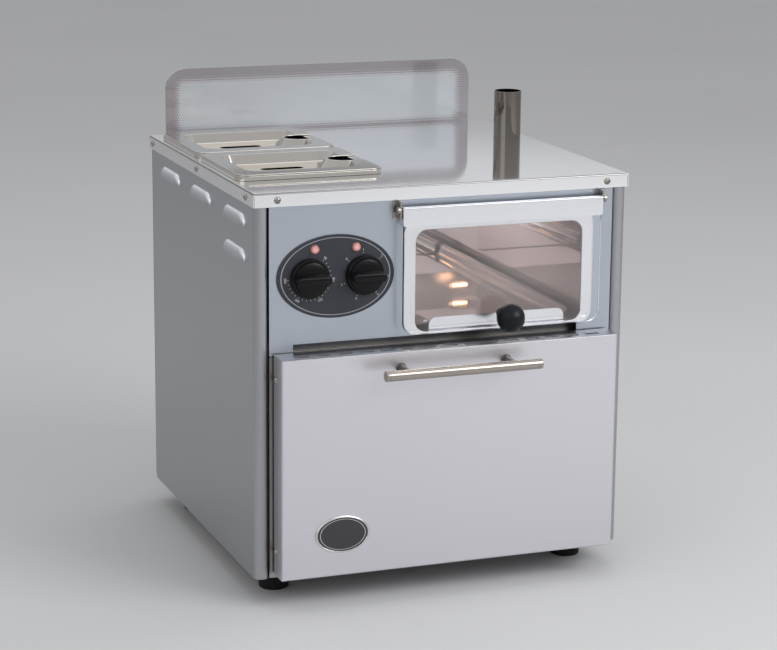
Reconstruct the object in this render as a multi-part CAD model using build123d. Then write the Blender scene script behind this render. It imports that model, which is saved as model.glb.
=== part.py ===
from build123d import *
import math
import os

# Every length is in millimetres. X runs across the front, Y from front to back and Z up.
# The pieces are drawn with Y = 0 at the worktop's front edge and the floor at Z = 0. Each is moved
# along Y as it is saved, so that the origin lies under the middle of the whole object's box.

# Worktop
worktop_width = 455
worktop_depth = 436
worktop_top = 476
worktop_sheet = 1.2
worktop_flange = 16
worktop_bend = 2
corner_seam = 0.5
seam_top_gap = 3

# Casing
casing_gap = 0.3
casing_sheet = 1.2
casing_bottom = 30
post_setback = 2
post_width = 17
post_return = 14
post_bend = 6
rear_return = 15
rear_sheet = 1
fascia_setback = 1
fascia_gap = 0.2
base_sheet = 1.5
base_upstand = 14
casing_half = worktop_width / 2 - worktop_sheet - casing_gap
casing_top = worktop_top - worktop_sheet - casing_gap
casing_back = worktop_depth - worktop_sheet - casing_gap
rear_inner = casing_back - rear_sheet
fascia_front = post_setback + fascia_setback
fascia_back = fascia_front + casing_sheet
fascia_half = casing_half - post_width - fascia_gap

# Louvres pressed into the sides, in one row and one more under the first
louvre_length = 78
louvre_height = 14
louvre_bulge = 5
louvre_sheet = 1
louvre_end_margin = 6
louvre_drop = 36
louvre_row_pitch = 40
louvre_columns = [75, 209.5, 341]

# Feet
foot_radius = 17.5
foot_top_radius = 15.5
foot_side_gap = 40
foot_inset = 60
foot_socket = 16
stud_radius = 4
stud_hole_gap = 0.1
stud_reach = 8
stud_end = 2
stud_nut = 6.5
stud_nut_height = 6

# Screws
screw_radius = 2
screw_head = 4
screw_head_height = 2
screw_hole = 2.1
screw_reach = 7
tapping_gap = 0.02
front_screw_gap = 26
side_screw_front = 30
side_screw_rear = 16
rear_screw_low = 30
rear_screw_high = 44.5
screw_level = worktop_top - worktop_flange / 2 - 0.5

# Oven cavity
cavity_side_gap = 48
cavity_rise = 26
cavity_ceiling = 280
cavity_rear_gap = 52
cavity_corner = 6
liner_sheet = 1
insulation_side_gap = 21
insulation_top = 16
insulation_under = 11
insulation_back = 18
insulation_gap = 0.1
wool_guard_sheet = 0.8
wool_guard_gap = 0.7
cavity_half = casing_half - cavity_side_gap
cavity_floor = casing_bottom + cavity_rise
cavity_back = worktop_depth - cavity_rear_gap

# Oven drawer
drawer_side_gap = 21.5
drawer_foot_gap = 6
drawer_top_rise = 13
drawer_projection = 30
drawer_rear_gap = 3
drawer_sheet = 1.2
drawer_bend = 2
drawer_slots = 15
drawer_slot_length = 17
drawer_slot_width = 6
drawer_slot_pitch = 25.3
drawer_slot_setback = 11
drawer_pad = 10
drawer_pad_gap = 4
drawer_tray_gap = 0.1
drawer_tray_fold = 10
drawer_screw_setback = 6
drawer_screw_margin = 28
seal_width = 8
seal_gap = 0.3
seal_margin = 4
seal_corner = 14
drawer_half = casing_half - drawer_side_gap
drawer_bottom = casing_bottom + drawer_foot_gap
drawer_top = cavity_ceiling + drawer_top_rise
drawer_front_y = -drawer_projection
drawer_rear = fascia_front - drawer_rear_gap

# Handle on the drawer
handle_length = 190
handle_radius = 6
handle_end_chamfer = 0.8
handle_drop = 19
handle_reach = 38
handle_spacing = 128
handle_post_radius = 4.5
handle_collar = 1.5
handle_collar_height = 2
handle_tapping = 12
handle_screw_reach = 10
drawer_screw_reach = 5
handle_level = drawer_top - handle_drop

# Blank badge plate on the drawer
badge_side_gap = 71.5
badge_rise = 49.5
badge_half_width = 32.5
badge_half_height = 21.5
badge_height = 1.6
badge_rim = 2
badge_rim_height = 0.8
badge_place = (badge_side_gap - drawer_half, drawer_bottom + badge_rise)

# Runners and the rack
runner_height = 26
runner_depth = 11
runner_rise = 44
runner_sheet = 1.2
runner_front = 8
runner_rear_gap = 34
slide_clearance = 0.3
rail_web_gap = 0.5
rail_sheet = 1.5
rail_rear_gap = 48
rack_sheet = 1.5
rack_bend = 1.5
rack_foot_gap = 8
rack_head_gap = 10
rack_side_gap = 0.8
rack_flange = 12
ledge_rise = 14
ledge_spare = 20
ledge_width = 9
ledge_front_gap = 10
rack_slot_above = 34
rack_slot_below = 12
rack_slot_front = 12
rack_slot_margin = 20
rack_slot_count = 6
rack_slot_length = 38
rack_slot_width = 10
shelf_gap = 0.8
shelf_seat_gap = 0.1
shelf_front = 4
shelf_frame_radius = 3
shelf_corner = 16
shelf_wire_radius = 1.5
shelf_wires = 12
shelf_crossbars = 2
runner_level = cavity_floor + runner_rise
runner_back = cavity_back - runner_rear_gap
rail_back = cavity_back - rail_rear_gap
rack_back = runner_back
rack_low = cavity_floor + rack_foot_gap
rack_high = cavity_ceiling - rack_head_gap
rack_outer = cavity_half - runner_depth - rack_side_gap
rail_outer = cavity_half - runner_sheet - rail_web_gap
ledge_low = cavity_floor + ledge_rise
ledge_pitch = (cavity_ceiling - cavity_floor - ledge_spare) / 3
ledge_levels = {"lower": ledge_low, "middle": ledge_low + ledge_pitch, "upper": ledge_low + 2 * ledge_pitch}

# Fan chamber behind the baffle
baffle_rear_gap = 28
baffle_side_gap = 18
baffle_margin = 4
baffle_sheet = 1
baffle_slot_width = 7
baffle_slot_rings = [(24, 6, 20), (50, 12, 22)]
fan_radius = 72
fan_hub_radius = 12
fan_inner_radius = 44
fan_blades = 16
fan_blade_depth = 15
fan_blade_sheet = 1
fan_blade_lean = 28
fan_disc = 1.2
fan_back_gap = 5
shaft_radius = 4
shaft_clearance = 0.05
shaft_nose = 22
motor_gap = 12
motor_half = 36
motor_depth = 22
motor_corner = 6
motor_shield_radius = 20
motor_shield_depth = 6
motor_coil_half = 14
motor_leg_radius = 3
ring_radius = 88
ring_tube = 3.25
ring_rear_gap = 14
ring_hole_gap = 0.5
ring_half_gap_degrees = 10
ring_tail = 3
baffle_front = cavity_back - baffle_rear_gap
baffle_half = cavity_half - baffle_side_gap
fan_level = (cavity_floor + cavity_ceiling) / 2
shaft_front = cavity_back - shaft_nose
ring_level = cavity_back - ring_rear_gap

# Flue
flue_side_gap = 26
flue_rear_gap = 142
flue_outer = 17
flue_inner = 15.5
flue_rise = 58
flue_seat_gap = 0.1
flue_shoulder = 1.5
flue_spigot_outer = 16
flue_spigot_inner = 14.8
flue_spigot_depth = 22
flue_pipe_outer = 14.7
flue_pipe_inner = 13.7
flue_pipe_end_gap = 4
flue_hole_gap = 0.3
flue_box_drop = 36
flue_box_rise = 20
flue_box_depth = 36
flue_box_sheet = 1
flue_box_side = 2
flue_port_margin = 4
flue_port_sill = 6
flue_port_head = 8
flue_place = (casing_half - flue_side_gap, worktop_depth - flue_rear_gap)
flue_top = worktop_top + flue_rise
flue_box_bottom = cavity_ceiling - flue_box_drop
flue_box_top = cavity_ceiling + flue_box_rise

# Fascia and the slot under it
fascia_rise = 10.5
vent_left_gap = 45
vent_right_gap = 59
vent_rise = 22
lip_depth = 13
lip_drop = 8
lip_leg = 2.5
flange_gap = 1
flange_foot = 0.5
fascia_foot = cavity_ceiling + fascia_rise
vent_left = vent_left_gap - casing_half
vent_right = casing_half - vent_right_gap
vent_top = cavity_ceiling + vent_rise

# Pans in the worktop's well
pan_side_gap = 93
pan_rear_gap = 111.5
pan_pitch = 165
pan_length = 176
pan_width = 162
pan_corner = 14
pan_sheet = 1
pan_seat_gap = 0.3
pan_rim_height = 5.2
pan_rim_fillet = 0.9
pan_body_length = 154
pan_body_width = 140
pan_body_corner = 22
pan_body_taper = 4
pan_depth = 100
pan_foot_fillet = 10
lid_inset = 1
lid_sheet = 1.2
lid_gap = 0.3
lid_recess_length = 140
lid_recess_width = 120
lid_recess_corner = 18
lid_recess_depth = 13
lid_recess_taper = 32
lid_recess_fillet = 3
lid_edge_fillet = 0.8
lid_slot_length = 52
lid_slot_width = 13
lid_slot_spread = 17
lid_slot_shift = -4
lid_notch_radius = 17
lid_notch_inset = 22
lid_notch_land = 2.4
well_margin = 5
well_drop = 110
well_sheet = 1
well_gap = 1
well_lip = 4
well_cut_corner = 8
well_element_radius = 3.25
well_element_turn = 22
well_element_front = 30
well_element_back = 20
well_element_gap = 0.1
pan_middle_x = pan_side_gap - casing_half
pan_middles_y = {"front": worktop_depth - pan_rear_gap - pan_pitch, "rear": worktop_depth - pan_rear_gap}
pan_rim_top = worktop_top + pan_seat_gap + pan_rim_height
lid_bottom = pan_rim_top + lid_gap
well_floor = worktop_top - well_drop

# Display cabinet
window_left_gap = 9
window_right_gap = 56
display_rise = 25
display_drop = 24
display_rear_gap = 32
window_drop = 52
window_corner = 14
window_foot_corner = 6
frame_border = 14
frame_head_border = 13
frame_sheet = 1.5
frame_edge_fillet = 0.6
frame_overlap = 2.6
frame_sill = 1
frame_corner = 16
tray_shift = 4
tray_side_gap = 15
tray_front = 8
tray_rear_gap = 8
tray_height = 12
tray_sheet = 1
tray_rim = 6
tray_bead = 1.5
tray_seat_gap = 0.1
lamp_drop = 38
lamp_setback = 34
lamp_radius = 10
lamp_cap_radius = 5
lamp_cap = 8
lamp_length = 46
lamp_holder_radius = 12
lamp_holder_length = 22
lamp_holder_reach = 12
lamp_holder_flange = 2
lamp_holder_neck = 9
window_left = pan_middle_x + pan_length / 2 + window_left_gap
window_right = casing_half - window_right_gap
window_top = worktop_top - window_drop
display_middle = (window_left + window_right) / 2
display_width = window_right - window_left
display_floor = cavity_ceiling + display_rise
display_ceiling = worktop_top - display_drop
display_back = worktop_depth - display_rear_gap
tray_back = display_back - tray_rear_gap
lamp_level = worktop_top - lamp_drop

# Display door
door_glass_side = 18.5
door_glass_front = -11
door_glass_sheet = 4
door_glass_foot_gap = 1
door_glass_corner = 14
door_glass_head = 60
door_glass_top_gap = 1
door_glass_cut = 9
door_rail_drop = 23
door_rail_height = 22
door_rail_sheet = 1.2
door_rail_bend = 0.8
door_rail_back_rise = 4
door_rail_gap = 0.2
door_rail_ear = 11
door_rail_ear_corner = 3
hinge_y = -6
hinge_drop = 27
hinge_pin_radius = 2.5
hinge_pin_tip = 3
hinge_clearance = 0.05
hinge_side_gap = 0.5
hinge_room = 0.6
hinge_room_length = 6
bracket_sheet = 2
bracket_width = 7
bracket_height = 20
bracket_reach = 12
hinge_head_radius = 4.5
hinge_head_height = 3
ball_radius = 16.3
ball_reach = 24
ball_rise = 18
ball_neck_radius = 6.5
ball_screw_radius = 2.5
ball_screw_reach = 12
ball_screw_head = 4.2
ball_screw_head_height = 2.2
ball_washer = 6.5
ball_washer_sheet = 1
ball_tapping = 15
ball_hole_radius = 3
door_glass_width = display_width + 2 * door_glass_side
door_rail_top = worktop_top - door_rail_drop
door_rail_foot = door_rail_top - door_rail_height
hinge_z = worktop_top - hinge_drop
ball_level = display_floor + ball_rise

# Controls
plate_side_gap = 95
plate_drop = 98.5
plate_half_width = 69.5
plate_half_height = 47.5
plate_sheet = 1.4
knob_drop = 99
knob_radius = 22.5
knob_skirt = 6
knob_skirt_bevel = 2
knob_height = 22
knob_grip_width = 12
knob_grip_length = 42
knob_grip_taper = 4
knob_grip_fillet = 2
knob_gap = 0.3
spindle_radius = 3
spindle_clearance = 0.05
spindle_front = 12
spindle_depth = 14
spindle_end_gap = 0.5
control_size = 38
control_corner = 4
control_depth = 26
control_bush_radius = 5
control_bush_gap = 0.2
control_tag_pitch = 10
control_tag_half = 2
control_tag_width = 12
control_tag_length = 6
neon_radius = 5
neon_drop = 66.5
neon_length = 22
neon_proud = 3
neon_dome = 1.8
neon_gap = 0.15
plate_middle = (plate_side_gap - casing_half, worktop_top - plate_drop)
knob_level = worktop_top - knob_drop
knob_places = {"oven": plate_middle[0] - 31, "well": plate_middle[0] + 34}
neon_level = worktop_top - neon_drop
neon_places = [plate_middle[0] - 25, plate_middle[0] + 24]

# Rear guard, supply inlet and terminals
guard_side_gap = 21
guard_rise = 81.5
guard_overlap = 14
guard_sheet = 4
guard_corner = 25
guard_foot_corner = 2
guard_gap = 0.1
guard_screw_margin = 55
gland_side_gap = 51
gland_level = 105
gland_bore = 4.6
gland_thread = 8
gland_hole_gap = 0.1
gland_flange = 12
gland_flange_height = 4
gland_shoulder = 2
gland_dome = 6
gland_length = 18
gland_nut_height = 5
gland_thread_end = 1
terminal_half = 24
terminal_rise = 24
terminal_height = 28
terminal_base = 4
terminal_depth = 16
terminal_pitch = 14
terminal_width = 10
terminal_count = 3
vent_rows = 6
vent_pitch = 16
vent_length = 90
vent_width = 5
guard_half = casing_half - guard_side_gap
gland_place = (gland_side_gap - casing_half, gland_level)

# The origin lies under the middle of the whole depth, from the handle to the gland.
front_reach = drawer_front_y - handle_reach
back_reach = casing_back + gland_length
middle_y = (front_reach + back_reach) / 2


def block(x, y, z):
    """A box between three pairs of low and high values."""
    corner = Pos(x[0], y[0], z[0])
    return corner * Box(x[1] - x[0], y[1] - y[0], z[1] - z[0], align=(Align.MIN, Align.MIN, Align.MIN))


def window(x, z, radius):
    """A rounded rectangle between two pairs of low and high values."""
    middle = Pos((x[0] + x[1]) / 2, (z[0] + z[1]) / 2)
    return middle * RectangleRounded(x[1] - x[0], z[1] - z[0], radius)


def front_plate(outline, y, thickness):
    """A plate whose outline is drawn as seen from the front and whose thickness goes back from y."""
    return extrude(Plane.XZ.offset(-y) * outline, amount=-thickness)


def flat_plate(outline, z, thickness):
    """A plate whose outline is drawn from above and whose thickness goes up from z."""
    return extrude(Pos(0, 0, z) * outline, amount=thickness)


def rod(start, end, radius):
    """A round bar between two points."""
    line = Vector(*end) - Vector(*start)
    return Part() + Solid.make_cylinder(radius, line.length, Plane(origin=start, z_dir=line))


def bent_section(points, sheet, bend):
    """The section of a bent sheet. Its skin runs through the points and its thickness is to their left."""
    skin = [Vector(*point) for point in points]
    runs = [(end - start).normalized() for start, end in zip(skin, skin[1:])]
    sides = [Vector(-run.Y, run.X) for run in runs]
    back = [skin[0] + sides[0] * sheet]
    skin_radii = []
    back_radii = []
    for index in range(1, len(skin) - 1):
        before, after = sides[index - 1], sides[index]
        back.append(skin[index] + (before + after) * (sheet / (1 + before.dot(after))))
        turns_left = runs[index - 1].cross(runs[index]).Z > 0
        skin_radii.append(bend + sheet if turns_left else bend)
        back_radii.append(bend if turns_left else bend + sheet)
    back.append(skin[-1] + sides[-1] * sheet)
    outline = [
        FilletPolyline(*skin, radius=skin_radii),
        Line(skin[-1], back[-1]),
        FilletPolyline(*reversed(back), radius=back_radii[::-1]),
        Line(back[0], skin[0]),
    ]
    return make_face(Curve() + outline)


def screw(place, reach=screw_reach):
    """A pan-head screw whose head stands on the plane and whose shank goes reach deep behind it."""
    head = Pos(0, 0, screw_head_height / 2) * Cylinder(screw_head, screw_head_height)
    head = fillet(head.edges().group_by(Axis.Z)[-1], screw_head_height * 0.6)
    shank = Pos(0, 0, -reach / 2) * Cylinder(screw_radius, reach)
    return place * (head + shank)


def screw_cut(place, radius=screw_hole):
    """The hole for a screw, through whatever lies near the plane."""
    return place * Cylinder(radius, 3 * screw_reach)


def facing_front(x, y, z):
    return Plane(origin=(x, y, z), x_dir=(1, 0, 0), z_dir=(0, -1, 0))


def facing_back(x, y, z):
    return Plane(origin=(x, y, z), z_dir=(0, 1, 0))


def facing_side(x, y, z):
    return Plane(origin=(x, y, z), z_dir=(math.copysign(1, x), 0, 0))


def worktop_screw_places():
    side_x = worktop_width / 2
    front_x = casing_half - front_screw_gap
    last = worktop_depth - side_screw_rear
    side_y = (side_screw_front, (side_screw_front + last) / 2, last)
    front = [facing_front(x, 0, screw_level) for x in (-front_x, front_x)]
    sides = [facing_side(x, y, screw_level) for x in (-side_x, side_x) for y in side_y]
    return front + sides


def guard_screw_planes():
    back = worktop_depth + guard_gap + guard_sheet
    far = guard_half - guard_screw_margin
    return [facing_back(x, back, screw_level) for x in (-far, 0, far)]


def rear_screw_places():
    x = casing_half - casing_sheet - rear_return / 2
    low, high = casing_bottom + rear_screw_low, casing_top - rear_screw_high
    levels = (low, (low + high) / 2, high)
    return [facing_back(side * x, casing_back, z) for side in (-1, 1) for z in levels]


def well_outline(grow=0):
    """The cut-out that both pans hang in, grown by a margin."""
    first, last = pan_middles_y["front"], pan_middles_y["rear"]
    half_x = pan_body_length / 2 + well_margin + grow
    half_y = pan_body_width / 2 + well_margin + grow
    x = (pan_middle_x - half_x, pan_middle_x + half_x)
    return window(x, (first - half_y, last + half_y), well_cut_corner + grow)


def worktop():
    half = worktop_width / 2
    foot = worktop_top - worktop_flange
    lid = block((-half, half), (0, worktop_depth), (foot, worktop_top))
    lid = fillet(lid.edges().group_by(Axis.Z)[-1], worktop_bend)
    inner = half - worktop_sheet
    back = worktop_depth - worktop_sheet
    lid -= block((-inner, inner), (worktop_sheet, back), (foot - 1, worktop_top - worktop_sheet))
    lid -= flat_plate(well_outline(), foot, worktop_flange + 1)
    flue_cut = Pos(*flue_place) * Circle(flue_spigot_outer + flue_hole_gap)
    lid -= flat_plate(flue_cut, foot, worktop_flange + 1)
    for x in (-inner, inner):
        for y in (0, back):
            seam = corner_seam / 2
            seam_z = (foot - 1, worktop_top - seam_top_gap)
            lid -= block((x - seam, x + seam), (y - 1, y + worktop_sheet + 1), seam_z)
    for place in worktop_screw_places() + guard_screw_planes():
        lid -= screw_cut(place)
    return lid


def louvre_places():
    """The middles of the louvres in Y and Z."""
    row = worktop_top - louvre_drop
    return [(y, row) for y in louvre_columns] + [(louvre_columns[0], row - louvre_row_pitch)]


def louvre_hood(inset, bulge):
    """The upper half of a lying capsule, flattened until it stands out by its bulge."""
    radius = louvre_height - inset
    middle = louvre_length / 2 - louvre_height
    capsule = Rot(0, 90, 0) * Cylinder(radius, 2 * middle)
    for side in (-1, 1):
        capsule += Pos(side * middle, 0, 0) * Sphere(radius)
    flattened = scale(capsule, by=(1, 1, bulge / radius))
    return flattened & block((-louvre_length, louvre_length), (0, 2 * radius), (0, 2 * bulge))


def louvre(y, z):
    """The hood of one louvre on the left side, and the opening it covers. The mouth faces down."""
    foot = z - louvre_height / 2
    place = Plane(origin=(-casing_half, y, foot), x_dir=(0, -1, 0), z_dir=(-1, 0, 0))
    outside = place * louvre_hood(0, louvre_bulge)
    inside = place * louvre_hood(louvre_sheet, louvre_bulge - louvre_sheet)
    half = louvre_length / 2 - louvre_end_margin
    high = foot + louvre_height - louvre_end_margin
    cut = block((-casing_half - 1, -casing_half + 2 * casing_sheet), (y - half, y + half), (foot, high))
    return outside - inside, cut


def side_panel():
    """The left side, folded round into the front post and back along the rear edge."""
    edge = -casing_half
    inner_post = edge + post_width
    skin = [
        (edge + rear_return, rear_inner),
        (edge, rear_inner),
        (edge, post_setback),
        (inner_post, post_setback),
        (inner_post, post_setback + post_return),
    ]
    section = bent_section(skin, casing_sheet, post_bend)
    panel = flat_plate(section, casing_bottom, casing_top - casing_bottom)
    for y, z in louvre_places():
        hood, cut = louvre(y, z)
        panel = panel - cut + hood
    for place in worktop_screw_places() + rear_screw_places():
        panel -= screw_cut(place)
    return panel


def rear_cover():
    half = casing_half - casing_sheet - fascia_gap
    outline = window((-half, half), (casing_bottom + 2, casing_top), 2)
    for row in range(vent_rows):
        level = fan_level + (row - (vent_rows - 1) / 2) * vent_pitch
        outline -= Pos(0, level) * SlotOverall(vent_length, vent_width)
    outline -= Pos(*gland_place) * Circle(gland_thread + gland_hole_gap)
    cover = front_plate(outline, rear_inner, rear_sheet)
    for place in rear_screw_places() + guard_screw_planes():
        cover -= screw_cut(place)
    return cover


def base_plate():
    half = casing_half - casing_sheet - fascia_gap
    x = (-half, half)
    y = (fascia_back + fascia_gap, rear_inner - casing_sheet - fascia_gap)
    z = (casing_bottom, casing_bottom + base_upstand)
    tray = block(x, y, z)
    rear_corners = tray.edges().filter_by(Axis.Z).group_by(Axis.Y)[-1]
    tray = fillet(rear_corners, post_bend + 1)
    inner_x = (x[0] + base_sheet, x[1] - base_sheet)
    inner_y = (y[0] + base_sheet, y[1] - base_sheet)
    hollow = block(inner_x, inner_y, (z[0] + base_sheet, z[1] + 1))
    hollow_corners = hollow.edges().filter_by(Axis.Z).group_by(Axis.Y)[-1]
    tray -= fillet(hollow_corners, post_bend)
    # The two front corners make way for the returns of the posts.
    notch = post_return + post_setback - y[0] + fascia_gap
    for side in (-1, 1):
        near = side * (casing_half - post_width - fascia_gap)
        far = side * (half + 1)
        tray -= block((min(near, far), max(near, far)), (y[0] - 1, y[0] + notch), (z[0] - 1, z[1] + 1))
    for x_foot, y_foot in foot_places():
        tray -= Pos(x_foot, y_foot, casing_bottom) * Cylinder(stud_radius + stud_hole_gap, 4 * base_sheet)
    return tray


def foot_places():
    x_foot = casing_half - foot_side_gap
    return [(x, y) for x in (-x_foot, x_foot) for y in (foot_inset, worktop_depth - foot_inset)]


def foot(x, y):
    height = casing_bottom
    outline = Polyline(
        (0, 0),
        (foot_radius, 0),
        (foot_radius, height * 0.55),
        (foot_top_radius, height * 0.7),
        (foot_top_radius, height),
        (0, height),
        close=True,
    )
    body = revolve(Plane.XZ * make_face(outline), Axis.Z)
    body = fillet(body.edges().group_by(Axis.Z)[0], 2)
    socket = Pos(0, 0, height) * Cylinder(stud_radius + tapping_gap, foot_socket)
    return Pos(x, y, 0) * (body - socket)


def foot_studs():
    studs = []
    for x, y in foot_places():
        top = casing_bottom + base_sheet + stud_nut_height + stud_end
        stud = rod((x, y, casing_bottom - stud_reach), (x, y, top), stud_radius)
        nut = Pos(x, y) * RegularPolygon(stud_nut, 6)
        studs.append(stud + flat_plate(nut, casing_bottom + base_sheet, stud_nut_height))
    return Compound(studs)


def fascia():
    x = (-fascia_half, fascia_half)
    outline = window(x, (fascia_foot, casing_top), 1)
    opening = window((window_left, window_right), (display_floor, window_top), window_foot_corner)
    outline -= opening
    vent = Pos((vent_left + vent_right) / 2, (fascia_foot + vent_top) / 2 - 3)
    outline -= vent * Rectangle(vent_right - vent_left, vent_top - fascia_foot + 6)
    for x_knob in knob_places.values():
        outline -= Pos(x_knob, knob_level) * Circle(control_bush_radius + control_bush_gap)
    for x_neon in neon_places:
        outline -= Pos(x_neon, neon_level) * Circle(neon_radius + neon_gap)
    panel = front_plate(outline, fascia_front, casing_sheet) + air_lip()
    for place in worktop_screw_places():
        panel -= screw_cut(place)
    return panel


def air_lip():
    """The lip folded back under the fascia, which turns the drawer's warm air forward."""
    skin = [
        (fascia_front, vent_top + lip_leg),
        (fascia_front, vent_top),
        (fascia_front + lip_depth, vent_top - lip_drop),
    ]
    section = bent_section(skin, casing_sheet, 1)
    return extrude(Plane.YZ.offset(vent_left) * section, amount=vent_right - vent_left)


def oven_liner():
    outer_half = cavity_half + liner_sheet
    mouth = window((-cavity_half, cavity_half), (cavity_floor, cavity_ceiling), cavity_corner)
    outer_z = (cavity_floor - liner_sheet, cavity_ceiling + liner_sheet)
    skin = window((-outer_half, outer_half), outer_z, cavity_corner)
    flange_z = (drawer_bottom + flange_foot, fascia_foot - flange_gap)
    flange = window((-fascia_half, fascia_half), flange_z, 1)
    liner = front_plate(skin, fascia_front, cavity_back + liner_sheet - fascia_front)
    liner += front_plate(flange, fascia_front, casing_sheet) + wool_guard()
    liner -= front_plate(mouth, fascia_front - 1, cavity_back - fascia_front + 1)
    liner -= rod((0, cavity_back - 5, fan_level), (0, cavity_back + 5, fan_level), fan_hub_radius)
    for x, z in ring_ends():
        liner -= rod((x, cavity_back - 5, z), (x, cavity_back + 5, z), ring_tube + ring_hole_gap)
    liner -= flue_port(liner_sheet + 1)
    return liner


def wool_guard_y():
    return fascia_back + lip_depth + 2 * wool_guard_gap


def wool_guard():
    """The fold behind the flange that keeps the wool out of the slot under the fascia."""
    level = fascia_foot - flange_gap - wool_guard_sheet
    back = wool_guard_y()
    skin = [
        (fascia_front, level),
        (back, level),
        (back, cavity_ceiling + liner_sheet + insulation_top),
    ]
    section = bent_section(skin, wool_guard_sheet, wool_guard_sheet)
    half = casing_half - insulation_side_gap
    return extrude(Plane.YZ.offset(-half) * section, amount=2 * half)


def flue_port(reach):
    """The way out of the cavity's right side into the flue box."""
    half = flue_box_depth / 2 - flue_port_margin
    y = (flue_place[1] - half, flue_place[1] + half)
    z = (flue_box_bottom + flue_port_sill, cavity_ceiling - flue_port_head)
    return block((cavity_half - 1, cavity_half + reach), y, z)


def flue_box_outline():
    x = (cavity_half + liner_sheet, flue_place[0] + flue_outer + flue_box_side)
    y = (flue_place[1] - flue_box_depth / 2, flue_place[1] + flue_box_depth / 2)
    return x, y


def flue_duct():
    """The box on the cavity's side and the pipe that rises from it."""
    x, y = flue_box_outline()
    sheet = flue_box_sheet
    box = block(x, y, (flue_box_bottom, flue_box_top))
    inner_y = (y[0] + sheet, y[1] - sheet)
    box -= block((x[0] - 1, x[1] - sheet), inner_y, (flue_box_bottom + sheet, flue_box_top - sheet))
    low = flue_box_top - sheet
    high = worktop_top - worktop_sheet - flue_pipe_end_gap
    box += Pos(*flue_place) * flat_plate(Circle(flue_pipe_outer), low, high - low)
    return box - Pos(*flue_place) * flat_plate(Circle(flue_pipe_inner), low - 1, high - low + 2)


def flue_tube():
    """The bright outlet. It stands on the worktop on the shoulder of its narrower spigot."""
    seat = worktop_top + flue_seat_gap
    upper = flat_plate(Circle(flue_outer) - Circle(flue_inner), seat, flue_top - seat)
    lower_ring = Circle(flue_spigot_outer) - Circle(flue_spigot_inner)
    lower = flat_plate(lower_ring, seat - flue_spigot_depth, flue_spigot_depth + flue_shoulder)
    return Pos(*flue_place) * (upper + lower)


def oven_insulation():
    outer_half = casing_half - insulation_side_gap
    inner_half = cavity_half + liner_sheet + insulation_gap
    y_front = fascia_back + 1
    y_back = cavity_back + liner_sheet + insulation_back
    z_low = cavity_floor - liner_sheet - insulation_under
    z_high = cavity_ceiling + liner_sheet + insulation_top
    blanket = block((-outer_half, outer_half), (y_front, y_back), (z_low, z_high))
    z_inner = (cavity_floor - liner_sheet - insulation_gap, cavity_ceiling + liner_sheet + insulation_gap)
    y_inner = cavity_back + liner_sheet + insulation_gap
    blanket -= block((-inner_half, inner_half), (y_front - 1, y_inner), z_inner)
    guard_y = wool_guard_y() + insulation_gap
    guard_z = fascia_foot - flange_gap - wool_guard_sheet - insulation_gap
    blanket -= block((-outer_half - 1, outer_half + 1), (y_front - 1, guard_y), (guard_z, z_high + 1))
    motor_room = rod((0, cavity_back, fan_level), (0, y_back + 1, fan_level), 1.5 * motor_half)
    blanket -= motor_room
    for x, z in ring_ends():
        blanket -= rod((x, cavity_back, z), (x, y_back + 1, z), ring_tube + 1)
    x, y = flue_box_outline()
    room_y = (y[0] - 1, y[1] + 1)
    blanket -= block((x[0] - 1, outer_half + 1), room_y, (flue_box_bottom - 1, z_high + 1))
    return blanket


def rear_baffle():
    """The plate in front of the fan, with its intake slots. It stands on its own folded edges."""
    low, high = cavity_floor + baffle_margin, cavity_ceiling - baffle_margin
    skin = [(cavity_back, high), (baffle_front, high), (baffle_front, low), (cavity_back, low)]
    section = bent_section(skin, baffle_sheet, 1)
    plate = extrude(Plane.YZ.offset(-baffle_half) * section, amount=2 * baffle_half)
    slots = Sketch()
    for radius, count, length in baffle_slot_rings:
        for location in PolarLocations(radius, count):
            slots += location * SlotOverall(length, baffle_slot_width)
    slots += Circle(5)
    return plate - front_plate(Pos(0, fan_level) * slots, baffle_front - 1, 4)


def ring_ends():
    gap = math.radians(ring_half_gap_degrees)
    x = ring_radius * math.sin(gap)
    z = fan_level + ring_radius * math.cos(gap)
    return [(-x, z), (x, z)]


def ring_element():
    """An open ring round the fan whose two ends turn back through the liner."""
    centre = Plane(origin=(0, ring_level, fan_level), x_dir=(0, 0, 1), z_dir=(0, -1, 0))
    ring = Wire.make_circle(ring_tube, Plane(origin=(ring_radius, 0, 0), z_dir=(0, 1, 0)))
    section = make_face(ring.edges())
    turned = revolve(section, Axis.Z, revolution_arc=360 - 2 * ring_half_gap_degrees)
    element = centre * (Rot(0, 0, ring_half_gap_degrees) * turned)
    tail = cavity_back + liner_sheet + insulation_back + ring_tail
    for x, z in ring_ends():
        element += Pos(x, ring_level, z) * Sphere(ring_tube)
        element += rod((x, ring_level, z), (x, tail, z), ring_tube)
    return element


def fan_wheel():
    """A centrifugal wheel: a disc, a hub and a ring of blades that lean back from the radius."""
    disc_y = cavity_back - fan_back_gap - fan_disc
    place = facing_front(0, disc_y, fan_level)
    disc = Pos(0, 0, -fan_disc / 2) * Cylinder(fan_radius, fan_disc)
    hub = Pos(0, 0, fan_blade_depth / 2 - fan_disc / 2) * Cylinder(fan_hub_radius, fan_blade_depth + fan_disc)
    wheel = disc + hub
    length = (fan_radius - fan_inner_radius) * 0.98
    blade = Box(length, fan_blade_sheet, fan_blade_depth + fan_disc / 2)
    for location in PolarLocations((fan_radius + fan_inner_radius) / 2 - 1, fan_blades):
        wheel += location * Rot(0, 0, fan_blade_lean) * Pos(0, 0, fan_blade_depth / 2 - fan_disc / 4) * blade
    wheel -= Cylinder(shaft_radius + tapping_gap, 6 * fan_blade_depth)
    return place * wheel


def motor_span():
    front = cavity_back + liner_sheet + motor_gap
    return front, front + motor_depth


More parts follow.
